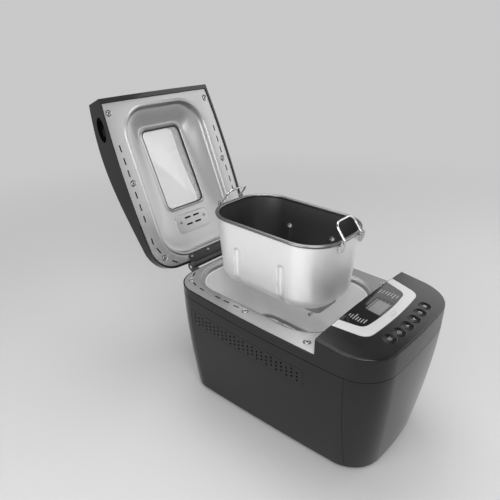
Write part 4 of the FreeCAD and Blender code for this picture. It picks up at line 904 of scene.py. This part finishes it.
def onConsole(x, reach, lift):
    # point over the crowned top, at a distance in front of the step
    drop = console["crown"] - math.sqrt(console["crown"] ** 2 - x ** 2)
    start = Vector((x, console["rear"], console["top"]))
    return tuple(start + consoleDown * (reach / math.cos(tilt)) + consoleOut * (lift - drop))


def consolePlate(outline, low, high):
    # outline as (x, reach) pairs, seen from above going round to the left
    verts = [onConsole(x, reach, lift) for lift in (low, high) for x, reach in outline]
    return verts, cappedFaces(2, len(outline))


def bar(x0, x1, reach0, reach1):
    return [(x0, reach1), (x1, reach1), (x1, reach0), (x0, reach0)]


display = {
    "lensTop": 0.1, "ink": 0.05, "barWidth": 1.5,
    # (x at the start, x at the end, reach) of the plain bars that stand for printed lines
    "left": [(-51.5, -45.5, 6.0), (-53.5, -44.5, 10.0), (-54.5, -39.0, 14.0), (-53.5, -44.0, 18.0),
             (-54.5, -44.5, 22.0), (-53.0, -43.0, 26.0), (-52.0, -41.0, 30.0)],
    "right": [(31.0, 43.0, 7.0), (34.0, 45.0, 11.3), (37.0, 46.0, 15.6), (35.0, 47.0, 19.9),
              (37.0, 48.0, 24.2), (33.0, 48.0, 28.5), (38.0, 48.0, 32.8)],
    # small marks on the dark strips beside the field: x and reach
    "ticks": [(-18.5, 14.9), (-12.5, 14.9), (-6.5, 14.9), (-0.5, 14.9), (5.5, 14.9), (11.0, 14.9)],
    "dots": [(17.4, 20.0), (17.4, 26.0), (17.4, 32.0)],
    "tickLength": 4.2, "tickWidth": 1.2, "dotLength": 1.4,
    "screenHalf": 20.2, "screenBack": 12.8, "screenFront": 37.2, "bezel": 4.2, "edge": 0.9, "screenTop": -0.4,
    "bezelHeight": 0.25,
}


def makeDisplay():
    lift, high = display["lensTop"], display["lensTop"] + display["ink"]
    half = display["barWidth"] / 2
    parts = []
    for x0, x1, reach in display["left"] + display["right"]:
        parts.append(consolePlate(bar(x0, x1, reach - half, reach + half), lift, high))
    low = display["screenTop"]
    top = low + display["bezelHeight"]
    half = display["tickWidth"] / 2
    for row, length in (("ticks", display["tickLength"]), ("dots", display["dotLength"])):
        for x, reach in display[row]:
            mark = bar(x, x + length, reach - half, reach + half)
            parts.append(consolePlate(mark, top, top + display["ink"]))
    addPiece("displayMarks", *joinParts(parts), "machine", "indicator_grey", [finishes["display_ink"]])
    side, back, front, width, edge = (
        display[k] for k in ("screenHalf", "screenBack", "screenFront", "bezel", "edge"))
    outside = bar(-side, side, back, front)
    inside = bar(edge - side, side - width, back + width, front - edge)
    rings = ((outside, low), (outside, top), (inside, top), (inside, low))
    verts = [onConsole(x, reach, lift) for outline, lift in rings for x, reach in outline]
    addPiece("screenBezel", verts, ringFaces(len(rings), len(outside)), "machine", "lens_black")


def buttonSpot(index):
    x = (index - (console["buttonCount"] - 1) / 2) * console["buttonPitch"]
    share = (x / ((console["buttonCount"] - 1) / 2 * console["buttonPitch"])) ** 2
    return x, mix(console["buttonMiddle"], console["buttonEnd"], share)


def disc(radius, inner, steps=28, start=0.0, sweep=360.0):
    # flat ring or part of one, as a strip of quads in the button's plane
    count = steps if sweep == 360 else steps + 1
    verts = []
    for k in range(count):
        a = math.radians(start + sweep * k / steps)
        verts += [(inner * math.cos(a), inner * math.sin(a)), (radius * math.cos(a), radius * math.sin(a))]
    ends = [(2 * k, 2 * ((k + 1) % count)) for k in range(steps)]
    return verts, [(a, a + 1, b + 1, b) for a, b in ends]


def polygon(*corners):
    return list(corners), [tuple(range(len(corners)))]


def borderEdges(faces):
    # edges that only one face has, in that face's direction
    edges = {(a, b) for face in faces for a, b in zip(face, face[1:] + face[:1])}
    return sorted((a, b) for a, b in edges if (b, a) not in edges)


def block(half, low, high):
    return polygon((-half, low), (half, low), (half, high), (-half, high))


# plain marks on the keys, about each key's middle, and the rings round the keys
key = {
    # radius and height of the ring, from its outer foot over the top to its inner foot
    "ring": [(10.1, -0.6), (10.1, 0.0), (9.35, 0.35), (9.0, 0.35), (8.75, 0.21), (8.75, -0.6)],
    "ringSteps": 48, "markScale": 1.3, "ink": 0.06,
    "marks": [
        [block(2.6, 1.1, 1.9), block(2.6, -0.4, 0.4), block(2.6, -1.9, -1.1)],
        [disc(2.6, 1.8), disc(0.8, 0.05)],
        [polygon((-2.3, -1.5), (2.3, -1.5), (0.0, 2.1))],
        [polygon((-2.3, 1.5), (0.0, -2.1), (2.3, 1.5))],
        [disc(2.4, 0.05, 16, -90, 180), disc(2.4, 1.8, 16, 94, 172)],
        [block(1.9, -1.9, 1.9)],
    ],
}


def keyMark(mark, spot):
    # thin plate that lies in the key's dish
    outline, faces = mark
    dish, count = console["buttonDish"], len(outline)
    ball = (console["buttonRadius"] ** 2 + dish ** 2) / (2 * dish)
    verts = []
    for lift in (0.0, key["ink"]):
        for u, v in ((key["markScale"] * u, key["markScale"] * v) for u, v in outline):
            sag = ball - math.sqrt(ball ** 2 - u * u - v * v)
            rise = console["buttonProud"] - dish + sag + lift
            verts.append(tuple(spot + Vector((u, 0, 0)) - consoleDown * v + consoleOut * rise))
    top = [tuple(count + k for k in face) for face in faces]
    under = [tuple(reversed(face)) for face in faces]
    sides = [(a, b, b + count, a + count) for a, b in borderEdges(faces)]
    return verts, top + under + sides


def keyRing(x, reach):
    verts = [onConsole(x + u, reach - v * math.cos(tilt), lift)
             for radius, lift in key["ring"] for u, v in circle(radius, key["ringSteps"])]
    return verts, ringFaces(len(key["ring"]), key["ringSteps"])


def makeKeys():
    rings = []
    for index, marks in enumerate(key["marks"]):
        x, reach = buttonSpot(index)
        spot = Vector(onConsole(x, reach, 0.0))
        addPiece(f"keyMark{index + 1}", *joinParts([keyMark(mark, spot) for mark in marks]),
                 f"key_{index + 1}", "indicator_grey", [finishes["key_ink"]])
        rings.append(keyRing(x, reach))
    addPiece("keyRings", *joinParts(rings), "machine", "satin_black")


makeDisplay()
makeKeys()
print("console dressed")


# CAD pieces whose edges are eased: width of the ease in millimetres
eased = {"console_trim": 0.3, "lid_cover": 0.8, "upper_housing": 0.4, "indicator_lens": 0.3,
         "hinge_leaf": 0.5, "hinge_base": 0.6, "bail_ears": 0.5, "pan_base": 0.8, "paddle_front": 1.2,
         "paddle_rear": 1.2, "pan_socket": 0.3, "display_lens": 0.08, "front_panel": 0.25,
         "casing_wrap": 0.25, "base_tray": 0.5, "mains_inlet": 0.6}
for index in range(console["buttonCount"]):
    eased[f"button_{index + 1}"] = 0.35
easing = {"weld": 0.01, "segments": 2, "sharpest": 38}


def easeEdges():
    for name, width in eased.items():
        piece = nodes[name]
        weld = piece.modifiers.new("weld", "WELD")
        weld.merge_threshold = metres(easing["weld"])
        ease = piece.modifiers.new("ease", "BEVEL")
        ease.width = metres(width)
        ease.segments = easing["segments"]
        ease.limit_method = "ANGLE"
        ease.angle_limit = math.radians(easing["sharpest"])
        ease.harden_normals = True
        level = piece.modifiers.new("level", "WEIGHTED_NORMAL")
        level.keep_sharp = True


easeEdges()
print("edges eased on", len(eased), "pieces")


# camera at the photograph's angle
view = {"place": (-571.15, -395.65, 627.48), "azimuth": -47.67, "elevation": 25.98, "roll": -0.39,
        "lens": 35.0, "sensor": 36.0, "nearest": 10}


def makeCamera():
    a, e, r = (math.radians(view[k]) for k in ("azimuth", "elevation", "roll"))
    back = Vector((math.sin(a) * math.cos(e), -math.cos(a) * math.cos(e), math.sin(e)))
    level = Vector((math.cos(a), math.sin(a), 0))
    upright = back.cross(level)
    right = level * math.cos(r) + upright * math.sin(r)
    data = bpy.data.cameras.new("camera")
    data.lens = view["lens"]
    data.sensor_width = view["sensor"]
    data.clip_start = metres(view["nearest"])
    camera = bpy.data.objects.new("camera", data)
    bpy.context.scene.collection.objects.link(camera)
    turn = Matrix((right, back.cross(right), back)).transposed().to_4x4()
    camera.matrix_world = Matrix.Translation(point(*view["place"])) @ turn
    bpy.context.scene.camera = camera


# pale floor that runs into a pale backdrop, and soft studio light
studio = {"floorHalf": 9000, "floorDrop": -0.1, "floorGrey": 0.50, "backdropGrey": 0.58,
          "ceilingGrey": 0.16, "worldGrey": 0.34,
          "blendStart": 0.45, "blendEnd": 1.8, "riseStart": 0.10, "riseEnd": 0.75}
lamps = [
    {"name": "keyBox", "place": (-1500, 100, 750), "size": (1100, 1000), "power": 15},
    {"name": "fillBox", "place": (-850, -900, 1400), "size": (900, 900), "power": 16},
    {"name": "frontBox", "place": (1100, -1300, 1250), "size": (2000, 1500), "power": 7},
    {"name": "sideBox", "place": (1450, -350, 900), "size": (1500, 1100), "power": 7},
    {"name": "topBox", "place": (250, 450, 1900), "size": (1200, 1200), "power": 18},
]


def makeFloor():
    half, low = metres(studio["floorHalf"]), metres(studio["floorDrop"])
    mesh = bpy.data.meshes.new("floor")
    corners = ((-half, -half), (half, -half), (half, half), (-half, half))
    mesh.from_pydata([(x, y, low) for x, y in corners], [], [(0, 1, 2, 3)])
    floor = bpy.data.objects.new("floor", mesh)
    bpy.context.scene.collection.objects.link(floor)
    finish = Finish("floorPaint", grey(studio["floorGrey"]))
    tree = finish.tree
    where = tree.nodes.new("ShaderNodeTexCoord")
    length = tree.nodes.new("ShaderNodeVectorMath")
    length.operation = "LENGTH"
    tree.links.new(where.outputs["Object"], length.inputs[0])
    share = smoothStep(tree, length.outputs["Value"], studio["blendStart"], studio["blendEnd"])
    glow = tree.nodes.new("ShaderNodeEmission")
    glow.inputs["Color"].default_value = (*grey(studio["backdropGrey"]), 1)
    join = tree.nodes.new("ShaderNodeMixShader")
    tree.links.new(share, join.inputs["Fac"])
    tree.links.new(finish.shader.outputs["BSDF"], join.inputs[1])
    tree.links.new(glow.outputs["Emission"], join.inputs[2])
    tree.links.new(join.outputs["Shader"], tree.nodes["Material Output"].inputs["Surface"])
    mesh.materials.append(finish.material)


def makeWorld():
    world = bpy.data.worlds.new("studio")
    world.use_nodes = True
    tree = world.node_tree
    # what is seen or mirrored is the backdrop, pale low down and darker overhead; the rest is even light
    rays = tree.nodes.new("ShaderNodeLightPath")
    seen = rays.outputs["Is Camera Ray"]
    for label in ("Is Glossy Ray", "Is Transmission Ray"):
        most = tree.nodes.new("ShaderNodeMath")
        most.operation = "MAXIMUM"
        tree.links.new(seen, most.inputs[0])
        tree.links.new(rays.outputs[label], most.inputs[1])
        seen = most.outputs[0]
    where = tree.nodes.new("ShaderNodeTexCoord")
    split = tree.nodes.new("ShaderNodeSeparateXYZ")
    tree.links.new(where.outputs["Generated"], split.inputs[0])
    rise = smoothStep(tree, split.outputs["Z"], studio["riseStart"], studio["riseEnd"])
    even = grey(studio["worldGrey"])
    wall = blendColors(tree, rise, grey(studio["backdropGrey"]), grey(studio["ceilingGrey"]))
    blend = blendColors(tree, seen, even, even)
    tree.links.new(wall.outputs["Result"], blend.inputs["B"])
    tree.links.new(blend.outputs["Result"], tree.nodes["Background"].inputs["Color"])
    bpy.context.scene.world = world


def makeLamps():
    target = (cadBox[0] + cadBox[1]) / 2
    for lamp in lamps:
        data = bpy.data.lights.new(lamp["name"], "AREA")
        data.shape = "RECTANGLE"
        data.size, data.size_y = (metres(s) for s in lamp["size"])
        data.energy = lamp["power"]
        light = bpy.data.objects.new(lamp["name"], data)
        light.location = point(*lamp["place"])
        light.rotation_euler = (target - light.location).to_track_quat("-Z", "Y").to_euler()
        bpy.context.scene.collection.objects.link(light)
    bpy.context.scene.view_settings.view_transform = "Standard"


makeCamera()
makeFloor()
makeWorld()
makeLamps()
print("camera and studio set")
